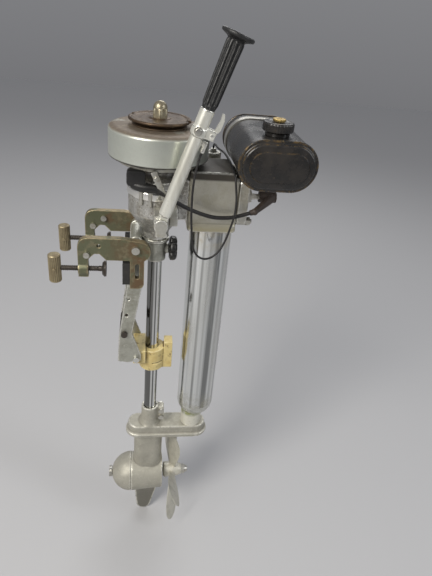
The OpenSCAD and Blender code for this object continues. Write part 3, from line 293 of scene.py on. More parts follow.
class Finish:
    """A procedural finish: a base colour with layers of noise, streaks or wear mixed over it, and a
    bump."""

    BUMP_HEIGHT = 0.0006

    def __init__(self, name, colour, rough, metal, bump, bump_scale, stretch=(1, 1, 1)):
        self.mat = bpy.data.materials.new(name)
        self.mat.use_nodes = True
        self.nodes, self.links = self.mat.node_tree.nodes, self.mat.node_tree.links
        self.shader = self.nodes["Principled BSDF"]
        own = self.nodes.new("ShaderNodeTexCoord")
        self.coords, self.normal = own.outputs["Object"], own.outputs["Normal"]
        self.values = {"Base Color": (*colour, 1.0), "Roughness": rough, "Metallic": metal}
        self.sockets = dict.fromkeys(self.values)
        for key, value in self.values.items():
            self.shader.inputs[key].default_value = value
        node = self.nodes.new("ShaderNodeBump")
        node.inputs["Strength"].default_value = bump
        node.inputs["Distance"].default_value = self.BUMP_HEIGHT
        self.links.new(self.noise(bump_scale, stretch, 6.0), node.inputs["Height"])
        self.links.new(node.outputs["Normal"], self.shader.inputs["Normal"])

    def noise(self, scale, stretch=(1, 1, 1), detail=5.0):
        """Noise of that many cells a metre, drawn out along an axis where stretch is below 1."""
        mapping = self.nodes.new("ShaderNodeMapping")
        mapping.inputs["Scale"].default_value = stretch
        self.links.new(self.coords, mapping.inputs["Vector"])
        tex = self.nodes.new("ShaderNodeTexNoise")
        tex.inputs["Scale"].default_value = scale
        tex.inputs["Detail"].default_value = detail
        tex.inputs["Roughness"].default_value = 0.6
        self.links.new(mapping.outputs["Vector"], tex.inputs["Vector"])
        return tex.outputs["Fac"]

    def ramp(self, source, low, high, top=1.0):
        """Source from low to high becomes 0 to top, and the rest is cut off."""
        node = self.nodes.new("ShaderNodeMapRange")
        node.inputs["From Min"].default_value = low
        node.inputs["From Max"].default_value = high
        node.inputs["To Max"].default_value = top
        self.links.new(source, node.inputs["Value"])
        return node.outputs["Result"]

    def part_of(self, vector, axis, low, high, top):
        """One coordinate of a vector, from low to high."""
        split = self.nodes.new("ShaderNodeSeparateXYZ")
        self.links.new(vector, split.inputs["Vector"])
        return self.ramp(split.outputs[axis], low, high, top)

    def height(self, axis, low, high, top=1.0):
        """How far a point lies between two levels along X, Y or Z."""
        return self.part_of(self.coords, axis, low, high, top)

    def facing(self, axis, low, high, top=1.0):
        """How much the surface faces along an axis, from its normal in the piece's own frame."""
        return self.part_of(self.normal, axis, low, high, top)

    def attribute(self, name, low, high, top=1.0):
        """A value that the mesh holds for each point, from low to high."""
        node = self.nodes.new("ShaderNodeAttribute")
        node.attribute_name = name
        return self.ramp(node.outputs["Fac"], low, high, top)

    def over(self, factor, colour, rough, metal):
        """Mixes another colour, roughness or metalness over what is there, by factor."""
        for key, value in (("Base Color", colour), ("Roughness", rough), ("Metallic", metal)):
            if value is None:
                continue
            mix = self.nodes.new("ShaderNodeMix")
            mix.data_type = "RGBA" if key == "Base Color" else "FLOAT"
            ins = [s for s in mix.inputs if s.enabled]
            out = [s for s in mix.outputs if s.enabled][0]
            self.links.new(factor, ins[0])
            if self.sockets[key] is None:
                ins[1].default_value = self.values[key]
            else:
                self.links.new(self.sockets[key], ins[1])
            ins[2].default_value = (*value, 1.0) if key == "Base Color" else value
            self.sockets[key] = out
            self.links.new(out, self.shader.inputs[key])

    def patches(self, scale, low, high, colour, rough, metal, top, stretch=(1, 1, 1), detail=5.0):
        """A layer where noise rises from low to high."""
        rise = self.ramp(self.noise(scale, stretch, detail), low, high, top)
        self.over(rise, colour, rough, metal)

    def blotches(self, mask, scale, low, high, colour, rough, metal=None, detail=5.0):
        """A layer in patches that show only where the mask does."""
        node = self.nodes.new("ShaderNodeMath")
        node.operation = "MULTIPLY"
        self.links.new(mask, node.inputs[0])
        self.links.new(self.ramp(self.noise(scale, detail=detail), low, high), node.inputs[1])
        self.over(node.outputs["Value"], colour, rough, metal)

    def edges(self, colour, rough, metal=None):
        """Rubs the edges that stand proud, more in some places than in others."""
        self.blotches(self.attribute("wear_and_shade", 0.2, 0.6), 180, 0.30, 0.55, colour, rough, metal)

    def hollows(self, colour, rough=0.8, metal=0.1, top=0.9):
        """Lets dirt lie in the hollows."""
        self.over(self.attribute("grime", 0.15, 0.7, top), colour, rough, metal)


def make_finishes():
    """Every finish on the motor, by the name of the record's slot or of the place it is used."""
    made = {}

    f = Finish("aged bronze", (0.155, 0.162, 0.10), 0.44, 0.7, 0.35, 900)
    f.patches(36, 0.54, 0.68, (0.135, 0.075, 0.038), 0.60, 0.35, 0.8)
    f.blotches(f.height("X", -0.02, 0.035), 60, 0.36, 0.56, (0.135, 0.085, 0.045), 0.58, 0.4)
    f.patches(90, 0.53, 0.70, (0.29, 0.255, 0.165), 0.4, 0.85, 0.7)
    f.patches(420, 0.60, 0.72, (0.05, 0.036, 0.022), 0.75, 0.2, 0.7)
    # Painted light: lighter golden patches on the faces turned upwards.
    f.blotches(f.facing("Z", 0.6, 0.95), 70, 0.36, 0.58, (0.34, 0.275, 0.165), 0.45, 0.7)
    f.edges((0.40, 0.335, 0.205), 0.34, 0.9)
    f.hollows((0.030, 0.022, 0.014))
    made["clamp_bronze"] = f.mat

    f = Finish("fibre pad", (0.022, 0.021, 0.020), 0.85, 0.0, 0.6, 1400)
    f.patches(120, 0.5, 0.75, (0.055, 0.048, 0.04), 0.9, None, 0.8)
    made["dark_pads"] = f.mat

    f = Finish("pale steel", (0.56, 0.55, 0.50), 0.32, 0.95, 0.2, 1500)
    f.patches(160, 0.5, 0.72, (0.30, 0.26, 0.20), 0.5, 0.7, 0.8)
    f.patches(700, 0.62, 0.75, (0.13, 0.09, 0.06), 0.7, 0.3, 0.7)
    made["pale_steel"] = f.mat

    f = Finish("dark steel", (0.085, 0.075, 0.066), 0.42, 0.85, 0.3, 1600, (0.15, 1, 1))
    f.patches(130, 0.48, 0.7, (0.05, 0.032, 0.02), 0.65, 0.4, 0.8)
    f.patches(520, 0.58, 0.72, (0.22, 0.19, 0.16), 0.35, 0.9, 0.6)
    made["dark_steel"] = f.mat

    f = Finish("frame bolts", (0.085, 0.075, 0.066), 0.42, 0.85, 0.3, 1600)
    f.patches(130, 0.48, 0.7, (0.05, 0.032, 0.02), 0.65, 0.4, 0.8)
    f.over(f.height("Z", -0.195, -0.205), (0.68, 0.68, 0.65), 0.24, 1.0)
    made["frame_bolt"] = f.mat

    f = Finish("handle bronze", (0.36, 0.305, 0.19), 0.42, 0.75, 0.3, 1100)
    f.patches(95, 0.45, 0.68, (0.20, 0.155, 0.09), 0.56, 0.45, 0.85)
    f.patches(420, 0.6, 0.74, (0.52, 0.47, 0.34), 0.32, 0.9, 0.7)
    # On the screw handles the wear attribute holds the flute depth: painted shade in the flutes.
    f.over(f.attribute("wear_and_shade", 0.35, 1.0, 0.8), (0.13, 0.10, 0.058), 0.6, 0.5)
    made["handle_bronze"] = f.mat

    f = Finish("frame alloy", (0.44, 0.44, 0.385), 0.40, 0.8, 0.35, 1100)
    f.patches(55, 0.45, 0.68, (0.27, 0.265, 0.22), 0.55, 0.6, 0.85)
    f.patches(210, 0.56, 0.72, (0.66, 0.655, 0.60), 0.3, 0.9, 0.6)
    f.patches(300, 0.6, 0.75, (0.17, 0.14, 0.10), 0.7, 0.3, 0.7)
    f.edges((0.72, 0.71, 0.65), 0.26, 0.95)
    f.hollows((0.07, 0.058, 0.042))
    made["frame_alloy"] = f.mat

    f = Finish("black moulding", (0.012, 0.012, 0.012), 0.32, 0.0, 0.12, 1800)
    f.patches(140, 0.5, 0.75, (0.03, 0.028, 0.026), 0.5, None, 0.8)
    made["knob_black"] = f.mat
    made["coil_black"] = f.mat

    f = Finish("yellow saddle", (0.62, 0.505, 0.225), 0.50, 0.0, 0.4, 800)
    f.patches(55, 0.46, 0.66, (0.50, 0.37, 0.14), 0.58, None, 0.8)
    f.patches(120, 0.56, 0.70, (0.15, 0.092, 0.042), 0.75, None, 0.8)
    f.patches(420, 0.62, 0.74, (0.68, 0.57, 0.30), 0.45, None, 0.7)
    f.edges((0.74, 0.64, 0.36), 0.42)
    f.hollows((0.10, 0.062, 0.028), 0.8, 0.0)
    made["saddle_yellow"] = f.mat

    f = Finish("bright tube", (0.78, 0.79, 0.78), 0.10, 1.0, 0.05, 900, (1, 1, 0.06))
    f.patches(46, 0.5, 0.78, (0.60, 0.59, 0.55), 0.24, None, 0.7, (1, 1, 0.08))
    # Dark lengthwise streaks: painted reflections of the room.
    f.patches(150, 0.46, 0.56, (0.10, 0.10, 0.097), 0.12, None, 0.9, (1, 1, 0.003), 1.0)
    f.patches(420, 0.66, 0.76, (0.28, 0.25, 0.20), 0.5, 0.7, 0.5, (1, 1, 0.4))
    made["bright_tube"] = f.mat

    f = Finish("cloudy tube", (0.72, 0.735, 0.73), 0.12, 1.0, 0.06, 700, (1, 1, 0.05))
    # Dark and bright lengthwise streaks: painted reflections of the room.
    f.patches(62, 0.47, 0.56, (0.17, 0.175, 0.172), 0.16, None, 0.85, (1, 1, 0.004), 1.5)
    f.patches(120, 0.54, 0.64, (0.90, 0.91, 0.90), 0.14, None, 0.8, (1, 1, 0.006), 2.0)
    f.patches(34, 0.46, 0.72, (0.58, 0.58, 0.55), 0.40, None, 0.7, (1, 1, 0.12))
    f.patches(380, 0.66, 0.78, (0.33, 0.30, 0.25), 0.55, 0.7, 0.5, (1, 1, 0.5))
    f.blotches(f.height("Z", -0.31, -0.375), 60, 0.34, 0.60, (0.40, 0.385, 0.30), 0.42, 0.8)
    f.blotches(f.height("Z", 0.005, 0.045), 50, 0.40, 0.65, (0.60, 0.52, 0.34), 0.3, 0.95)
    made["cloudy_tube"] = f.mat

    f = Finish("exhaust foot", (0.66, 0.67, 0.65), 0.22, 0.95, 0.2, 800)
    f.patches(60, 0.42, 0.64, (0.46, 0.455, 0.40), 0.40, 0.85, 0.8)
    f.blotches(f.height("Z", -0.366, -0.380), 90, 0.28, 0.55, (0.27, 0.285, 0.135), 0.55, 0.4)
    f.over(f.height("Z", -0.386, -0.392), (0.66, 0.645, 0.56), 0.48, 0.45)
    f.patches(220, 0.56, 0.72, (0.47, 0.445, 0.35), 0.6, 0.3, 0.7)
    made["exhaust_foot"] = f.mat

    f = Finish("sand-cast alloy", (0.50, 0.49, 0.445), 0.44, 0.75, 0.6, 950)
    f.patches(42, 0.44, 0.64, (0.36, 0.335, 0.265), 0.58, 0.5, 0.8)
    f.patches(150, 0.52, 0.72, (0.62, 0.61, 0.56), 0.36, 0.85, 0.7)
    f.patches(500, 0.60, 0.72, (0.12, 0.095, 0.07), 0.75, 0.2, 0.75)
    f.edges((0.72, 0.71, 0.66), 0.26, 0.95)
    f.hollows((0.055, 0.045, 0.034))
    made["cast_alloy"] = f.mat

    f = Finish("grey casting", (0.43, 0.415, 0.355), 0.55, 0.5, 0.5, 900)
    f.patches(40, 0.42, 0.68, (0.32, 0.308, 0.262), 0.62, 0.4, 0.8)
    f.patches(170, 0.54, 0.74, (0.54, 0.525, 0.46), 0.45, 0.65, 0.7)
    # Painted shade: the skeg and the underside of the gear case are darkened from z -0.605 m down.
    f.over(f.height("Z", -0.605, -0.66, 0.8), (0.15, 0.145, 0.125), 0.62, 0.4)
    f.patches(560, 0.62, 0.74, (0.11, 0.10, 0.085), 0.8, 0.2, 0.7)
    f.edges((0.70, 0.685, 0.61), 0.36, 0.75)
    f.hollows((0.10, 0.094, 0.08), top=0.75)
    made["grey_casting"] = f.mat

    f = Finish("propeller alloy", (0.60, 0.58, 0.50), 0.46, 0.45, 0.3, 900)
    f.patches(48, 0.42, 0.66, (0.44, 0.425, 0.36), 0.58, 0.4, 0.85)
    f.patches(260, 0.56, 0.74, (0.70, 0.685, 0.61), 0.36, 0.6, 0.7)
    f.patches(640, 0.62, 0.74, (0.13, 0.115, 0.095), 0.8, 0.2, 0.7)
    made["prop_alloy"] = f.mat

    f = Finish("crankcase alloy", (0.50, 0.495, 0.47), 0.34, 0.85, 0.7, 700)
    f.patches(60, 0.42, 0.60, (0.25, 0.235, 0.205), 0.52, 0.6, 0.85)
    f.patches(170, 0.50, 0.64, (0.70, 0.69, 0.65), 0.24, 0.95, 0.85)
    f.patches(330, 0.56, 0.68, (0.09, 0.075, 0.06), 0.7, 0.2, 0.85)
    f.blotches(f.height("Z", 0.118, 0.126), 45, 0.35, 0.6, (0.13, 0.115, 0.095), 0.6, 0.5)
    f.edges((0.78, 0.77, 0.73), 0.2, 1.0)
    f.hollows((0.045, 0.038, 0.03))
    made["crankcase_alloy"] = f.mat

    f = Finish("polished band", (0.82, 0.81, 0.77), 0.16, 0.95, 0.15, 900)
    f.patches(90, 0.54, 0.70, (0.36, 0.345, 0.31), 0.42, 0.7, 0.85, (1, 1, 0.4))
    f.patches(420, 0.62, 0.74, (0.15, 0.12, 0.10), 0.7, 0.3, 0.7)
    made["polished_band"] = f.mat

    f = Finish("block alloy", (0.57, 0.55, 0.47), 0.40, 0.75, 0.5, 900)
    f.patches(34, 0.44, 0.66, (0.45, 0.425, 0.335), 0.5, 0.6, 0.8)
    f.patches(160, 0.54, 0.72, (0.62, 0.61, 0.56), 0.34, 0.85, 0.6)
    f.patches(480, 0.62, 0.74, (0.16, 0.13, 0.10), 0.7, 0.3, 0.7)
    f.over(f.height("Z", 0.064, 0.052, 0.75), (0.50, 0.45, 0.29), 0.4, 0.8)
    # Painted shadow: the top of the block, under the flywheel, is darkened from z 0.1315 m up.
    f.over(f.height("Z", 0.1315, 0.1345, 0.93), (0.045, 0.037, 0.029), 0.6, 0.3)
    f.edges((0.70, 0.69, 0.63), 0.26, 0.95)
    f.hollows((0.05, 0.042, 0.03))
    made["block_alloy"] = f.mat

    f = Finish("flywheel alloy", (0.60, 0.625, 0.565), 0.31, 0.72, 0.12, 1300)
    f.patches(30, 0.45, 0.68, (0.51, 0.53, 0.475), 0.40, 0.65, 0.8)
    f.patches(240, 0.6, 0.76, (0.60, 0.60, 0.56), 0.26, 0.95, 0.6)
    f.blotches(f.facing("Z", 0.35, 0.9), 26, 0.22, 0.44, (0.172, 0.137, 0.104), 0.55, 0.4, 7)
    f.blotches(f.facing("Z", 0.35, 0.9), 130, 0.52, 0.68, (0.27, 0.225, 0.16), 0.5, 0.6, 7)
    # Painted shade: the drum's lower rim and underside are darkened below z 0.1605 m.
    f.over(f.height("Z", 0.1605, 0.1588), (0.03, 0.026, 0.022), 0.7, 0.2)
    f.patches(620, 0.64, 0.74, (0.12, 0.09, 0.065), 0.7, 0.2, 0.6)
    made["flywheel_alloy"] = f.mat

    f = Finish("brown bronze", (0.066, 0.043, 0.026), 0.46, 0.6, 0.4, 1100)
    f.patches(70, 0.45, 0.64, (0.135, 0.092, 0.054), 0.40, 0.8, 0.8)
    f.patches(260, 0.54, 0.70, (0.032, 0.021, 0.014), 0.7, 0.25, 0.8)
    made["pulley_brown"] = f.mat

    f = Finish("dull brass", (0.36, 0.325, 0.235), 0.34, 0.9, 0.3, 1000)
    f.patches(150, 0.44, 0.64, (0.20, 0.165, 0.105), 0.5, 0.7, 0.85)
    f.patches(420, 0.56, 0.72, (0.52, 0.48, 0.37), 0.28, 0.95, 0.7)
    made["nut_brass"] = f.mat

    f = Finish("brass", (0.55, 0.40, 0.145), 0.30, 0.95, 0.12, 1300)
    f.patches(130, 0.46, 0.7, (0.32, 0.21, 0.07), 0.5, 0.7, 0.8)
    made["brass"] = f.mat

    f = Finish("brown rubber", (0.036, 0.024, 0.018), 0.55, 0.0, 0.3, 1200)
    f.patches(140, 0.48, 0.72, (0.075, 0.055, 0.042), 0.7, None, 0.8)
    made["cap_brown"] = f.mat

    f = Finish("black sheath", (0.012, 0.011, 0.011), 0.45, 0.0, 0.2, 1800)
    f.patches(220, 0.5, 0.75, (0.032, 0.029, 0.027), 0.62, None, 0.8)
    made["cord_black"] = f.mat

    f = Finish("white insulator", (0.70, 0.67, 0.60), 0.22, 0.0, 0.05, 900)
    f.patches(150, 0.55, 0.75, (0.45, 0.40, 0.32), 0.4, None, 0.8)
    made["porcelain"] = f.mat

    f = Finish("tank black", (0.0135, 0.0132, 0.0132), 0.22, 0.0, 0.10, 700)
    f.patches(22, 0.42, 0.66, (0.034, 0.029, 0.025), 0.40, None, 0.85)
    f.patches(190, 0.60, 0.76, (0.07, 0.052, 0.034), 0.5, None, 0.6)
    f.blotches(f.attribute("wear_and_shade", 0.45, 0.95), 110, 0.50, 0.66, (0.15, 0.098, 0.042), 0.42, 0.6, 8)
    f.blotches(f.attribute("wear_and_shade", 0.45, 0.95), 420, 0.58, 0.68, (0.30, 0.215, 0.095), 0.36, 0.9, 8)
    f.patches(800, 0.67, 0.75, (0.16, 0.11, 0.05), 0.5, 0.5, 0.7)
    made["tank_black"] = f.mat

    f = Finish("red knob", (0.26, 0.05, 0.035), 0.4, 0.0, 0.15, 1200)
    f.patches(160, 0.5, 0.72, (0.13, 0.035, 0.026), 0.6, None, 0.8)
    made["plunger_red"] = f.mat

    f = Finish("tiller silver", (0.87, 0.865, 0.785), 0.29, 0.66, 0.15, 1200, (1, 1, 0.2))
    f.patches(46, 0.46, 0.66, (0.62, 0.605, 0.53), 0.40, 0.7, 0.85, (1, 1, 0.12))
    f.patches(320, 0.62, 0.76, (0.24, 0.20, 0.15), 0.6, 0.4, 0.7)
    f.edges((0.80, 0.79, 0.73), 0.24, 0.95)
    f.hollows((0.09, 0.075, 0.055))
    made["tiller_silver"] = f.mat

    f = Finish("grip rubber", (0.011, 0.0112, 0.0116), 0.40, 0.0, 0.30, 1300)
    f.patches(70, 0.46, 0.7, (0.020, 0.0205, 0.021), 0.55, None, 0.8)
    f.blotches(f.attribute("wear_and_shade", 0.72, 1.0), 160, 0.40, 0.56, (0.115, 0.113, 0.108), 0.42)
    made["grip_rubber"] = f.mat

    return made


finishes = make_finishes()
SLOT = {s["node"]: s["material_slot"] for s in frame["record"]["subparts"]}
NODE_FINISH = dict(SLOT, exhaust_tube="cloudy_tube", exhaust_end="exhaust_foot",
                   crankcase="crankcase_alloy", cylinder_block="block_alloy",
                   frame_bolts="frame_bolt")
for node, obj in frame["nodes"].items():
    obj.data.materials.clear()
    obj.data.materials.append(finishes[NODE_FINISH[node]])


def stand_for(obj, node):
    """The piece takes the place of a solid, which is hidden."""
    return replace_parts(obj, node)


# Cords: the routes of the solids

CABLE_ROUTE = [
    (56.4, -90, 188), (53, -91, 175), (50, -93, 159), (48, -94, 138), (48, -93, 115), (49, -91, 92),
    (51, -89, 70), (53, -86, 50), (58, -82, 32), (66, -77, 19), (78, -73, 13), (90, -70, 16),
    (101, -68, 27), (109, -66, 44), (115, -64, 64), (120, -62, 86), (121, -59, 108),
    (119, -53, 128), (117, -47, 143), (113, -30, 155), (109, -9, 161), (105, 12, 164),
    (99, 34, 164), (96, 54, 165), (95, 65, 161), (95, 66, 151)]
LEAD_ROUTE = [
    (-1, -64, 123), (8, -66, 116), (22, -67, 108), (38, -66, 99), (54, -63, 91), (70, -59, 84),
    (86, -56, 79), (102, -53, 77), (118, -52, 78), (134, -51, 82), (147, -50, 86)]


def lay_cords():
    """Throttle cable, which follows the tiller at its upper end, and ignition lead, each a tube
    along its route."""
    path = smooth_path(at(CABLE_ROUTE), 220)
    cable = piece("cable_sheath", [swept(path, 1.7 * MM, 14)], "engine", finishes["cord_black"])
    cable.parent = None
    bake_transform(cable)
    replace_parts(cable, "throttle_cable")

    path = smooth_path(at(LEAD_ROUTE), 120)
    lead = piece("lead_sheath", [swept(path, 3.2 * MM, 18)], "engine", finishes["cord_black"])
    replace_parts(lead, "ignition_lead")


# Powerhead


def make_flywheel():
    """Drum, rope pulley and domed nut, each a profile turned about the crankshaft. The pulley's lip
    is cut back at two notches, and the nut has six flats below its dome."""
    prof = rounded([
        (8.05, 203), (70, 203), (78, 199.5), (78, 158.4), (76.6, 157), (70, 157), (69, 158.5),
        (69, 189), (16, 189), (16, 165), (8.05, 165)], 3.5, 5)
    drum = piece("flywheel_drum", [lathe(closed(prof), CRANK_AXIS, Z, 128)], "crank",
                 finishes["flywheel_alloy"])
    stand_for(drum, "flywheel")

    notch_turn, notch_half, notch_floor, lip = 1.22, 0.085, 42.5, 209.4

    def notched(a, r, h):
        """Lip radius falls to the notch's floor within notch_half of two opposite angles."""
        past = (a - notch_turn) % math.pi
        near = np.minimum(past, math.pi - past)
        cut = np.clip((notch_half - near) / 0.012, 0, 1) * (h > lip)
        return np.where(r > notch_floor, r - cut * (r - notch_floor), r)

    prof = rounded([
        (7.1, 203), (42, 203), (42, 205), (36.4, 207), (36.4, 208.8), (48, 211), (48, 213.4),
        (46.5, 215), (44, 215), (40.5, 213.2), (17, 213.2), (15, 215), (7.1, 215)], 1.2, 3)
    rope = piece("rope_pulley", [lathe(closed(prof), CRANK_AXIS, Z, 240, notched)], "crank",
                 finishes["pulley_brown"])
    stand_for(rope, "starter_pulley")

    flats = hexed(10.83, 12.2)
    flats_top = 227.2

    def hex_below(a, r, h):
        """Six flats below flats_top, round above."""
        return np.where(h < flats_top, flats(a, r, h), r)

    foot = rounded([(7.1, 215), (12.4, 215), (12.4, 227)], 0.6, 3)
    prof = np.vstack([[(7.1, 215)], foot[1:], [(10.83, 228.4)], arc(0, 228.2, 10.8, 1, 90, 12)])
    nut = piece("dome_nut", [lathe(prof, CRANK_AXIS, Z, 96, hex_below)], "crank",
                finishes["nut_brass"])
    stand_for(nut, "flywheel_nut")


def make_exhaust():
    """Wide tube, its domed foot and the stub under it, each turned about its own axis."""
    shell = closed(rounded([(35, 46), (36.5, 46), (36.5, -353), (35, -353)], 0.1, 1))
    tube = piece("exhaust_shell", [lathe(shell, EXHAUST_AXIS, Z, 96)], "engine",
                 finishes["cloudy_tube"])
    stand_for(tube, "exhaust_tube")
    dome = np.vstack([[(35, -353)], arc(2.5, -353, 34, 0, -72, 20), [(0, -387.5)]])
    stub = rounded([(0, -384), (21, -382), (21, -414), (22, -418), (18, -418)], 1.5, 3)
    foot = piece("exhaust_foot", [lathe(dome, EXHAUST_AXIS, Z, 96), lathe(stub, STUB_AXIS, Z, 64)],
                 "engine", finishes["exhaust_foot"])
    stand_for(foot, "exhaust_end")


def make_tank():
    """Tank: round-ended outlines of radius TANK_RADIUS + grow at each station y, closed to a line
    at both ends. The end has a rolled seam, a dished cap and a raised oval panel; wear follows the
    seam and the panel's edge. Neck, knurled cap and vent knob are turned about the filler."""
    half = [
        (-96, -37), (-96, -18), (-95.8, -15.6), (-94.6, -14.8), (-93.2, -14.2), (-92.8, -12.6),
        (-92.7, -7.5), (-92.2, -5.6), (-90.6, -4.4), (-88.6, -4), (-87.4, -3.4), (-87, -1.8),
        (-87, 0.6), (-86.4, 1.4), (-85, 1.6), (-83.6, 1.4), (-83, 0.7), (-82.7, 0), (-74, 0),
        (-40, 0), (0, 0)]
    stations = np.array(half + [(-y, grow) for y, grow in half[-2::-1]], float)
    rim = [0, 0, 0.5, 0.9, 0.7, 0, 0, 0.3, 0.9, 0.8, 0.3, 0.6, 1, 1, 1, 0.9, 0.7, 0.4, 0.1, 0.1,
           0.1]
    rim = np.array(rim + rim[-2::-1], float)
    count = 128
    rings = np.stack([stadium_ring(TANK_HALF, max(TANK_RADIUS + grow, 0), count)
                      for _, grow in stations])
    shell = np.stack([TANK_X + rings[..., 0], np.repeat(stations[:, :1], count, 1),
                      TANK_Z + rings[..., 1]], -1)
    neck = rounded([(15, 209), (17, 209), (17, 216.5), (15, 216.5), (15, 209)], 0.5, 2)
    neck = lathe(neck, FILLER_AXIS, Z, 48)
    tank = piece("tank_shell", [at(shell), neck], "engine", finishes["tank_black"], angle=50,
                 shades=[np.repeat(rim[:, None], count, 1), np.zeros(neck.shape[:2])])
    stand_for(tank, "fuel_tank")

    def knurled(a, r, h):
        """Rim radius dips by a cosine of 36 waves a turn."""
        edge = (r > 21) & (h > 216.5) & (h < 229.6)
        return np.where(edge, r * (1 - 0.022 * (0.5 + 0.5 * np.cos(36 * a))), r)

    prof = rounded([
        (3.1, 217.4), (17.1, 217.4), (17.1, 211.6), (18.5, 211.6), (18.5, 216.4), (23.4, 218.2),
        (23.4, 228.6), (21.6, 231), (16, 231), (14, 230.2), (3.1, 230.2)], 0.9, 3)
    cap = piece("tank_cap", [lathe(closed(prof), FILLER_AXIS, Z, 216, knurled)], "filler_cap",
                finishes["tank_black"])
    stand_for(cap, "filler_cap")

    def milled(a, r, h):
        """Rim radius dips by a cosine of 24 waves a turn."""
        edge = (r > 9) & (h > 231.4)
        return np.where(edge, r * (1 - 0.035 * (0.5 + 0.5 * np.cos(24 * a))), r)

    prof = rounded([
        (0, 219), (2.9, 219), (2.9, 231.4), (9.8, 231.4), (9.8, 234.6), (8.6, 235.2), (4, 235.2),
        (3.6, 234.4), (0, 234.4)], 0.5, 3)
    vent = piece("vent_knob", [lathe(prof, FILLER_AXIS, Z, 144, milled)], "vent_screw",
                 finishes["brass"])
    stand_for(vent, "vent_screw")


# Tiller


def make_grip():
    """Rubber grip: a turned sleeve whose radius swells at lengthwise ribs, with wear on their tops,
    and a dished flange at its end."""
    ribs, count = 10, 160
    h = np.concatenate([
        [180, 180], np.linspace(181, 186, 5), np.linspace(188, 266, 40), [268, 270]])
    r = np.interp(h, [180, 184, 200, 245, 270], [9.6, 10.3, 10.7, 11.3, 11.8])
    r[0] = 7.6

    def ribbed(a, r, s):
        """Radius follows a clipped cosine of the ribs, fading out at both ends."""
        runs = np.clip((s - 184) / 3, 0, 1) * np.clip((269.5 - s) / 2, 0, 1)
        return r - 0.3 + np.clip(np.cos(ribs * a) * 1.8, -1, 1) * runs

    sleeve = lathe(np.stack([r, h], 1), TILLER_FOOT, ALONG, count, ribbed)
    end = rounded([
        (7.6, 270), (11.6, 269.6), (13, 271.4), (21.8, 274.6), (22.5, 276.2), (22.5, 278.4),
        (20.5, 280), (9, 279), (0, 278.6)], 1.0, 3)
    flange = lathe(end, TILLER_FOOT, ALONG, 96)
    top = np.clip(np.cos(ribs * angles(count)), 0, 1) ** 2
    grip = piece("grip_sleeve", [sleeve, flange], "tiller", finishes["grip_rubber"], angle=50,
                 shades=[np.repeat(top[None], len(h), 0), np.full(flange.shape[:2], 0.35)])
    stand_for(grip, "tiller_grip")


# Clamp


def make_clamp_screws():
    """Screws: radius follows a flat-topped wave of height / pitch - angle / turn. Barrel handles
    whose radius dips at lengthwise flutes, with a rivet through each."""
    flutes, flute_end, count = 10, 21.5, 200

    def thread(a, r, s):
        """Radius falls by a clipped triangle wave of s / pitch - a / turn."""
        wave = np.abs(((s / SCREW_PITCH - a / (2 * math.pi)) % 1) - 0.5) * 2
        cut = np.clip(wave * 1.5 - 0.25, 0, 1) * 0.75
        return np.where((s > -156) & (s < -91.6), r - cut, r)

    def fluted(a, r, s):
        """Radius falls by |sin(flutes a)| between the two rims."""
        side = (r > 8.4) & (np.abs(s) < flute_end)
        return np.where(side, r - 0.75 * np.abs(np.sin(flutes * a)), r)

    h = np.concatenate([[-167, -167], np.arange(-166.4, -92, 0.32), [-91.5]])
    r = np.full(len(h), 4.5)
    r[0] = 0
    spigot = [(4.5, -86.6), (2.98, -86.3), (2.98, -82.2), (0, -82.0)]
    shank = np.vstack([np.stack([r, h], 1), spigot])
    body = rounded([
        (0, -24), (8.8, -24), (10, -22.4), (10, -20.5), (10, 20.5), (10, 22.4), (8.8, 24), (0, 24)],
        0.8, 3)
    # Flute depth, for the handles' wear attribute: the handle finish turns it into painted shade in
    # the flutes.
    flute_shade = np.repeat(np.abs(np.sin(flutes * angles(count)))[None] ** 2, len(body), 0)
    flute_shade = flute_shade * (np.abs(body[:, 1:]) < flute_end)
    pin = rounded([(0, 0.8), (2.4, 0.8), (2.6, 0), (2.6, -2), (0, -2)], 0.4, 2)

    for side, y in (("port", -SCREW_OUT), ("starboard", SCREW_OUT)):
        rod = piece("screw_thread_" + side, [lathe(shank, (0, y, SCREW_LEVEL), X, 28, thread)],
                    "screw_" + side, finishes["dark_steel"])
        stand_for(rod, "clamp_screw_" + side)
        barrel = lathe(body, (HANDLE_X, y, SCREW_LEVEL), Z, count, fluted)
        rivet = lathe(pin, (HANDLE_X, y - 10, SCREW_LEVEL), -Y, 24)
        grip = piece("screw_handle_" + side, [barrel, rivet], "screw_" + side,
                     finishes["handle_bronze"], angle=45,
                     shades=[flute_shade, np.zeros(rivet.shape[:2])])
        stand_for(grip, "clamp_handle_" + side)


def make_knob():
    """Friction knob: a turned disc whose radius dips at six finger hollows, on a plain stem."""
    def lobed(a, r, h):
        """Radius dips by the lower half of a cosine of six waves a turn."""
        dip = np.clip(-np.cos(6 * a), 0, 1) ** 1.5
        return np.where(r > 8, r * (1 - 0.17 * dip), r)

    disc = rounded([
        (4, 23.3), (16, 23.3), (21.2, 25.6), (22, 29), (21.2, 34.4), (17, 37), (9.5, 37.3),
        (8.5, 36.2), (0, 36.2)], 1.4, 3)
    stem = [(0, 13.1), (3.95, 13.1), (3.95, 24), (0, 24)]
    knob = piece("friction_knob_grip", [lathe(disc, KNOB_AXIS, X, 144, lobed),
                                        lathe(stem, KNOB_AXIS, X, 32)],
                 "friction_knob", finishes["knob_black"], angle=45)
    stand_for(knob, "friction_knob")


# Small fittings


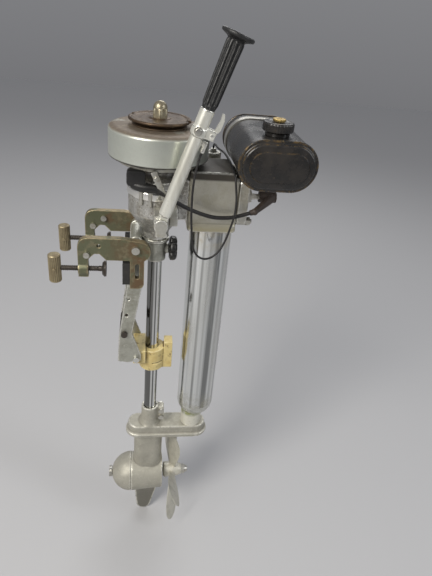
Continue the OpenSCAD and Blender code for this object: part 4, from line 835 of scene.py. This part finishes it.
def make_coil():
    """Coil: a rounded block of outlines at each station y, drawn in by grow and closed at both
    ends, the boot of its lead, and the spring strip across it."""
    middle_x, middle_z, half_x, half_z, corner, count = -34, 138, 14, 12, 6, 64
    rows = []
    for y, grow in ((-66, None), (-66, -2.4), (-65.4, -0.8), (-64, 0), (-49, 0), (-47.8, -0.6),
                    (-47.3, -2), (-47.3, None)):
        if grow is None:
            ring = rect_ring(0.01, 0.01, 0.005, count)
        else:
            ring = rect_ring(half_x + grow, half_z + grow, corner + grow, count)
        rows.append(np.stack([middle_x + ring[:, 0], np.full(count, y), middle_z + ring[:, 1]], 1))
    steps = 30
    route = [(-42, -56, 130), (-33, -60, 126), (-20, -63, 124), (-5, -64.3, 122.5), (8, -66, 116)]
    route = smooth_path(at(route), steps)
    thick = np.interp(np.arange(steps), [0, 3, 16, 23, 29], [4, 7.4, 7.2, 5.6, 3.7])
    coil = piece("coil_block", [at(np.stack(rows)), swept(route, thick * MM, 28)], "engine",
                 finishes["coil_black"])
    stand_for(coil, "ignition_coil")
    strip = slab((-9, -68, 151), (13, -67.4, 104), X, 9, 1.6)
    piece("coil_strip", [strip, *bolt_head((-4, -68.6, 140), -Y, 3.4, 2.6)], "engine",
          finishes["pale_steel"])


def make_crankcase_fittings():
    """Machined band round the crankcase, from one side of the cylinder to the other: point
    (r cos a, r sin a, h) for each angle a and profile row (r, h), closed to a point at both ends.
    Upright clamp ridges with bolts, and the bolt of the throttle clamp."""
    ring = rounded([
        (46, 97), (48.6, 97), (49.2, 99), (49.2, 108), (48.2, 110), (48.2, 115), (47.4, 117),
        (46, 117)], 0.6, 3)
    a = np.radians(np.linspace(50, 310, 96))[:, None]
    r, h = ring[None, :, 0], ring[None, :, 1]
    band = np.stack([r * np.cos(a), r * np.sin(a), h * np.ones_like(a)], -1)
    ends = np.repeat(band[[0, -1]].mean(1, keepdims=True), len(ring), 1)
    piece("case_band", [at(np.concatenate([ends[:1], band, ends[1:]]))], "engine",
          finishes["polished_band"])

    ridges = []
    for turn in np.radians((-122, -104, 122, 104)):
        out = np.array([math.cos(turn), math.sin(turn), 0])
        ridges.append(slab(out * 49 + 88 * Z, out * 49 + 120 * Z, np.cross(Z, out), 6, 5, 1.2))
        ridges += bolt_head(out * 51.4 + 112 * Z, out, 2.6, 2.4)
    piece("case_ridges", ridges, "engine", finishes["pale_steel"])

    place = TILLER_FOOT + ALONG * 150 - SQUARE * 3 - 12.6 * Y
    piece("clamp_bolt", bolt_head(place, -Y, 4.2, 3.4), "tiller", finishes["pale_steel"])


# Propeller


def make_propeller():
    """Hub turned about the shaft, and blades: for radius r and loop angle b, chord position
    c = cos b across a width that follows the outline, thickness by sin b, camber 1 - c squared,
    the chord turned by the pitch angle at r."""
    hub = rounded([
        (6.05, 35), (14, 35), (17, 36.6), (17, 58), (14.6, 68), (11.6, 77), (6.05, 77)], 1.6, 4)
    tip_from, tip_span, widest = 88, 26.9, 50
    outer = 96 + 18.9 * np.sin(np.linspace(0.12, 1, 16) * math.pi / 2)
    spread = np.concatenate([np.linspace(13, 96, 30), outer])
    width = np.interp(spread, [13, 25, 40, 60, 78, 90, 96], [17, 22, 31, 43, 50.5, 49.5, 46])
    tip = np.clip((spread - tip_from) / tip_span, 0, 1)
    tip_width = widest * np.sqrt(np.clip(1 - tip**2.2, 0, 1))
    width = np.where(spread > tip_from, tip_width, width)[:, None]
    pitch = np.radians(np.interp(spread, [13, 40, 75, 115], [40, 35, 31, 28]))[:, None]
    thick = np.interp(spread, [13, 40, 80, 115], [5.2, 4.4, 3.2, 1.6])[:, None]
    b = angles(44)
    c, t = np.cos(b), np.sin(b)
    across = width / 2 * c
    swell = thick / 2 * t * np.sqrt(np.clip(1 - 0.55 * c**4, 0, 1))
    off = swell + 1.8 * (width / widest) * (1 - c**2)
    blades = []
    for k in range(BLADES):
        turn = math.radians(FIRST_BLADE + 360 / BLADES * k)
        outward = np.array([0, -math.sin(turn), math.cos(turn)])
        sideways = np.array([0, math.cos(turn), math.sin(turn)])
        chord = np.sin(pitch) * X - np.cos(pitch) * sideways
        norm = np.cos(pitch) * X + np.sin(pitch) * sideways
        pts = spread[:, None, None] * outward + across[..., None] * chord[:, None]
        pts = pts + off[..., None] * norm[:, None] + np.array([BLADES_X, 0, SHAFT_LEVEL])
        lid = np.repeat(pts[-1:].mean(1, keepdims=True), len(b), 1)
        blades.append(at(np.concatenate([pts, lid])))
    prop = piece("propeller_blades", [lathe(hub, (0, 0, SHAFT_LEVEL), X, 64), *blades], "propeller",
                 finishes["prop_alloy"], angle=55)
    stand_for(prop, "propeller")


# Castings: a solid's own surface, remeshed and softened, with its edges and hollows marked for wear


def worn(mesh):
    """Marks edges and hollows: the mean of a point's neighbours less the point, along its normal,
    averaged over neighbours twice and divided by the usual edge. Below zero the surface bulges
    (attribute wear), above zero it is hollow (attribute grime)."""
    n = len(mesh.vertices)
    co, no = np.empty(n * 3), np.empty(n * 3)
    mesh.vertices.foreach_get("co", co)
    mesh.vertices.foreach_get("normal", no)
    co, no = co.reshape(-1, 3), no.reshape(-1, 3)
    pairs = np.empty(len(mesh.edges) * 2, int)
    mesh.edges.foreach_get("vertices", pairs)
    a, b = pairs.reshape(-1, 2).T
    count = np.maximum(np.bincount(a, minlength=n) + np.bincount(b, minlength=n), 1)

    def mean(values):
        """Mean over each point's neighbours."""
        return (np.bincount(a, values[b], n) + np.bincount(b, values[a], n)) / count

    bend = sum((mean(co[:, k]) - co[:, k]) * no[:, k] for k in range(3))
    step = np.median(np.linalg.norm(co[a] - co[b], axis=1))
    bend = mean(mean(bend)) / step
    gain = 9
    for name, value in (("wear_and_shade", -bend), ("grime", bend)):
        layer = mesh.attributes.new(name, "FLOAT", "POINT")
        layer.data.foreach_set("value", np.clip(value * gain, 0, 1).astype(np.float32))


def cast(node, name, voxel):
    """Casting: the node's surface cut into even cells of voxel millimetres and smoothed, so that
    its edges are round."""
    src = frame["nodes"][node]
    mesh = src.data.copy()
    bm = bmesh.new()
    bm.from_mesh(mesh)
    bmesh.ops.remove_doubles(bm, verts=bm.verts, dist=MERGE)
    bm.to_mesh(mesh)
    bm.free()
    rough = bpy.data.objects.new(name + "_rough", mesh)
    bpy.context.scene.collection.objects.link(rough)
    cells = rough.modifiers.new("cells", "REMESH")
    cells.mode = "VOXEL"
    cells.voxel_size = voxel * MM
    soft = rough.modifiers.new("soft", "SMOOTH")
    soft.factor, soft.iterations = 0.5, 6
    shaped = rough.evaluated_get(bpy.context.evaluated_depsgraph_get())
    made = bpy.data.meshes.new_from_object(shaped)
    bpy.data.objects.remove(rough)
    bpy.data.meshes.remove(mesh)
    made.name = name
    made.polygons.foreach_set("use_smooth", np.ones(len(made.polygons), bool))
    worn(made)
    made.materials.clear()
    made.materials.append(finishes[NODE_FINISH[node]])
    obj = bpy.data.objects.new(name, made)
    bpy.context.scene.collection.objects.link(obj)
    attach(obj, src["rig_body"])
    stand_for(obj, node)


def make_castings():
    """Cast and forged pieces with rounded edges, worn where they stand proud."""
    for node, name, cell in (
            ("clamp_cheek_port", "cheek_port", 1.0),
            ("clamp_cheek_starboard", "cheek_starboard", 1.0),
            ("lower_housing", "leg_casting", 1.5), ("gear_case_cap", "gear_nose", 1.3),
            ("crankcase", "crankcase_casting", 1.4), ("cylinder_block", "block_casting", 1.4),
            ("cylinder_head", "head_casting", 1.3), ("saddle_bush", "saddle_casting", 1.0),
            ("swivel_collar", "swivel_casting", 1.1), ("tiller_bracket", "tiller_lug", 1.0),
            ("carburettor", "carburettor_casting", 1.0), ("tank_bracket", "tank_arm", 1.0),
            ("frame_strut_port", "strut_port", 0.9),
            ("frame_strut_starboard", "strut_starboard", 0.9),
            ("tiller_tube", "tiller_arm", 0.8)):
        cast(node, name, cell)


# Camera, floor and light

FLOOR_HALF, FLOOR_LEVEL = 6.0, -0.7115
CAMERA_PLACE = (0.0431, -0.7821, 0.3795)


def turned_to(right, up, back, place):
    """Matrix whose columns are three unit axes and a place."""
    rows = np.stack([right, up, back, np.asarray(place, float)], 1)
    return Matrix([*rows.tolist(), (0, 0, 0, 1)])


def set_camera(scene):
    """Camera at the place worked out from the two parallel tubes, with its axes made square."""
    right = np.array([0.9885, -0.1190, 0.0932])
    right /= np.linalg.norm(right)
    ahead = np.array([0.1499, 0.8503, -0.5045])
    ahead -= right * (ahead @ right)
    ahead /= np.linalg.norm(ahead)
    data = bpy.data.cameras.new("camera")
    data.lens = 31.0
    data.sensor_width = 36.0
    data.clip_start, data.clip_end = 0.01, 50
    cam = bpy.data.objects.new("camera", data)
    cam.matrix_world = turned_to(right, np.cross(right, ahead), -ahead, CAMERA_PLACE)
    scene.collection.objects.link(cam)
    scene.camera = cam


def set_floor(scene):
    """Pale floor just under the skeg: one square."""
    mesh = bpy.data.meshes.new("floor")
    s, z = FLOOR_HALF, FLOOR_LEVEL
    mesh.from_pydata([(-s, -s, z), (s, -s, z), (s, s, z), (-s, s, z)], [], [(0, 1, 2, 3)])
    floor = bpy.data.objects.new("floor", mesh)
    scene.collection.objects.link(floor)
    mesh.materials.append(Finish("pale floor", (0.48, 0.48, 0.49), 0.8, 0.0, 0.05, 60).mat)


def set_room(scene):
    """Soft room light: brighter overhead, times light and dark walls by the angle round Z, so that
    bright metal has something to mirror."""
    world = bpy.data.worlds.new("studio")
    world.use_nodes = True
    nodes, links = world.node_tree.nodes, world.node_tree.links
    coord = nodes.new("ShaderNodeTexCoord")
    split = nodes.new("ShaderNodeSeparateXYZ")
    links.new(coord.outputs["Generated"], split.inputs["Vector"])

    def spread(source, low, high, stops):
        """Colours at stops of the source, which runs from low to high."""
        scale = nodes.new("ShaderNodeMapRange")
        scale.inputs["From Min"].default_value = low
        scale.inputs["From Max"].default_value = high
        links.new(source, scale.inputs["Value"])
        ramp = nodes.new("ShaderNodeValToRGB")
        for place, _ in stops[2:]:
            ramp.color_ramp.elements.new(place)
        for stop, (place, colour) in zip(ramp.color_ramp.elements, stops):
            stop.position = place
            stop.color = (*colour, 1)
        links.new(scale.outputs["Result"], ramp.inputs["Fac"])
        return ramp.outputs["Color"]

    sky = spread(split.outputs["Z"], -1, 1,
                 [(0.30, (0.30, 0.30, 0.31)), (0.75, (0.80, 0.81, 0.83))])
    turn = nodes.new("ShaderNodeMath")
    turn.operation = "ARCTAN2"
    links.new(split.outputs["Y"], turn.inputs[0])
    links.new(split.outputs["X"], turn.inputs[1])
    tones = [(0.0, 0.8), (0.10, 1.0), (0.19, 0.35), (0.27, 0.22), (0.32, 0.9), (0.38, 0.4),
             (0.5, 0.55), (0.75, 0.6)]
    walls = spread(turn.outputs["Value"], -math.pi, math.pi,
                   [(place, (tone, tone, tone * 1.02)) for place, tone in tones])
    mix = nodes.new("ShaderNodeMix")
    mix.data_type, mix.blend_type = "RGBA", "MULTIPLY"
    ins = [i for i in mix.inputs if i.enabled]
    ins[0].default_value = 1.0
    links.new(sky, ins[1])
    links.new(walls, ins[2])
    back = nodes["Background"]
    links.new([o for o in mix.outputs if o.enabled][0], back.inputs["Color"])
    back.inputs["Strength"].default_value = 0.68
    scene.world = world


def set_lamps(scene):
    """Soft window ahead to port, a narrow lamp aft and a weak one on the far side, each an area
    lamp turned to its target."""
    for name, place, target, size, power, colour in (
            ("window", (-1.5, -1.7, 1.7), (0.1, 0, -0.1), (1.2, 1.6), 85, (1.0, 0.965, 0.90)),
            ("side", (2.0, -0.9, 1.1), (0.1, 0, -0.1), (0.5, 1.6), 14, (0.96, 0.98, 1.0)),
            ("back", (0.6, 2.0, 1.6), (0.1, 0, 0), (1.8, 1.0), 18, (1, 1, 1))):
        light = bpy.data.lights.new(name, "AREA")
        light.shape = "RECTANGLE"
        light.size, light.size_y = size
        light.energy = power
        light.color = colour
        lamp = bpy.data.objects.new(name, light)
        away = np.subtract(place, target)
        away /= np.linalg.norm(away)
        right = np.cross(Z, away)
        right /= np.linalg.norm(right)
        lamp.matrix_world = turned_to(right, np.cross(away, right), away, place)
        scene.collection.objects.link(lamp)


lay_cords()
make_flywheel()
make_exhaust()
make_tank()
make_grip()
make_clamp_screws()
make_knob()
make_coil()
make_crankcase_fittings()
make_propeller()
make_castings()

scene = bpy.context.scene
scene.view_settings.view_transform = "Standard"
set_camera(scene)
set_floor(scene)
set_room(scene)
set_lamps(scene)
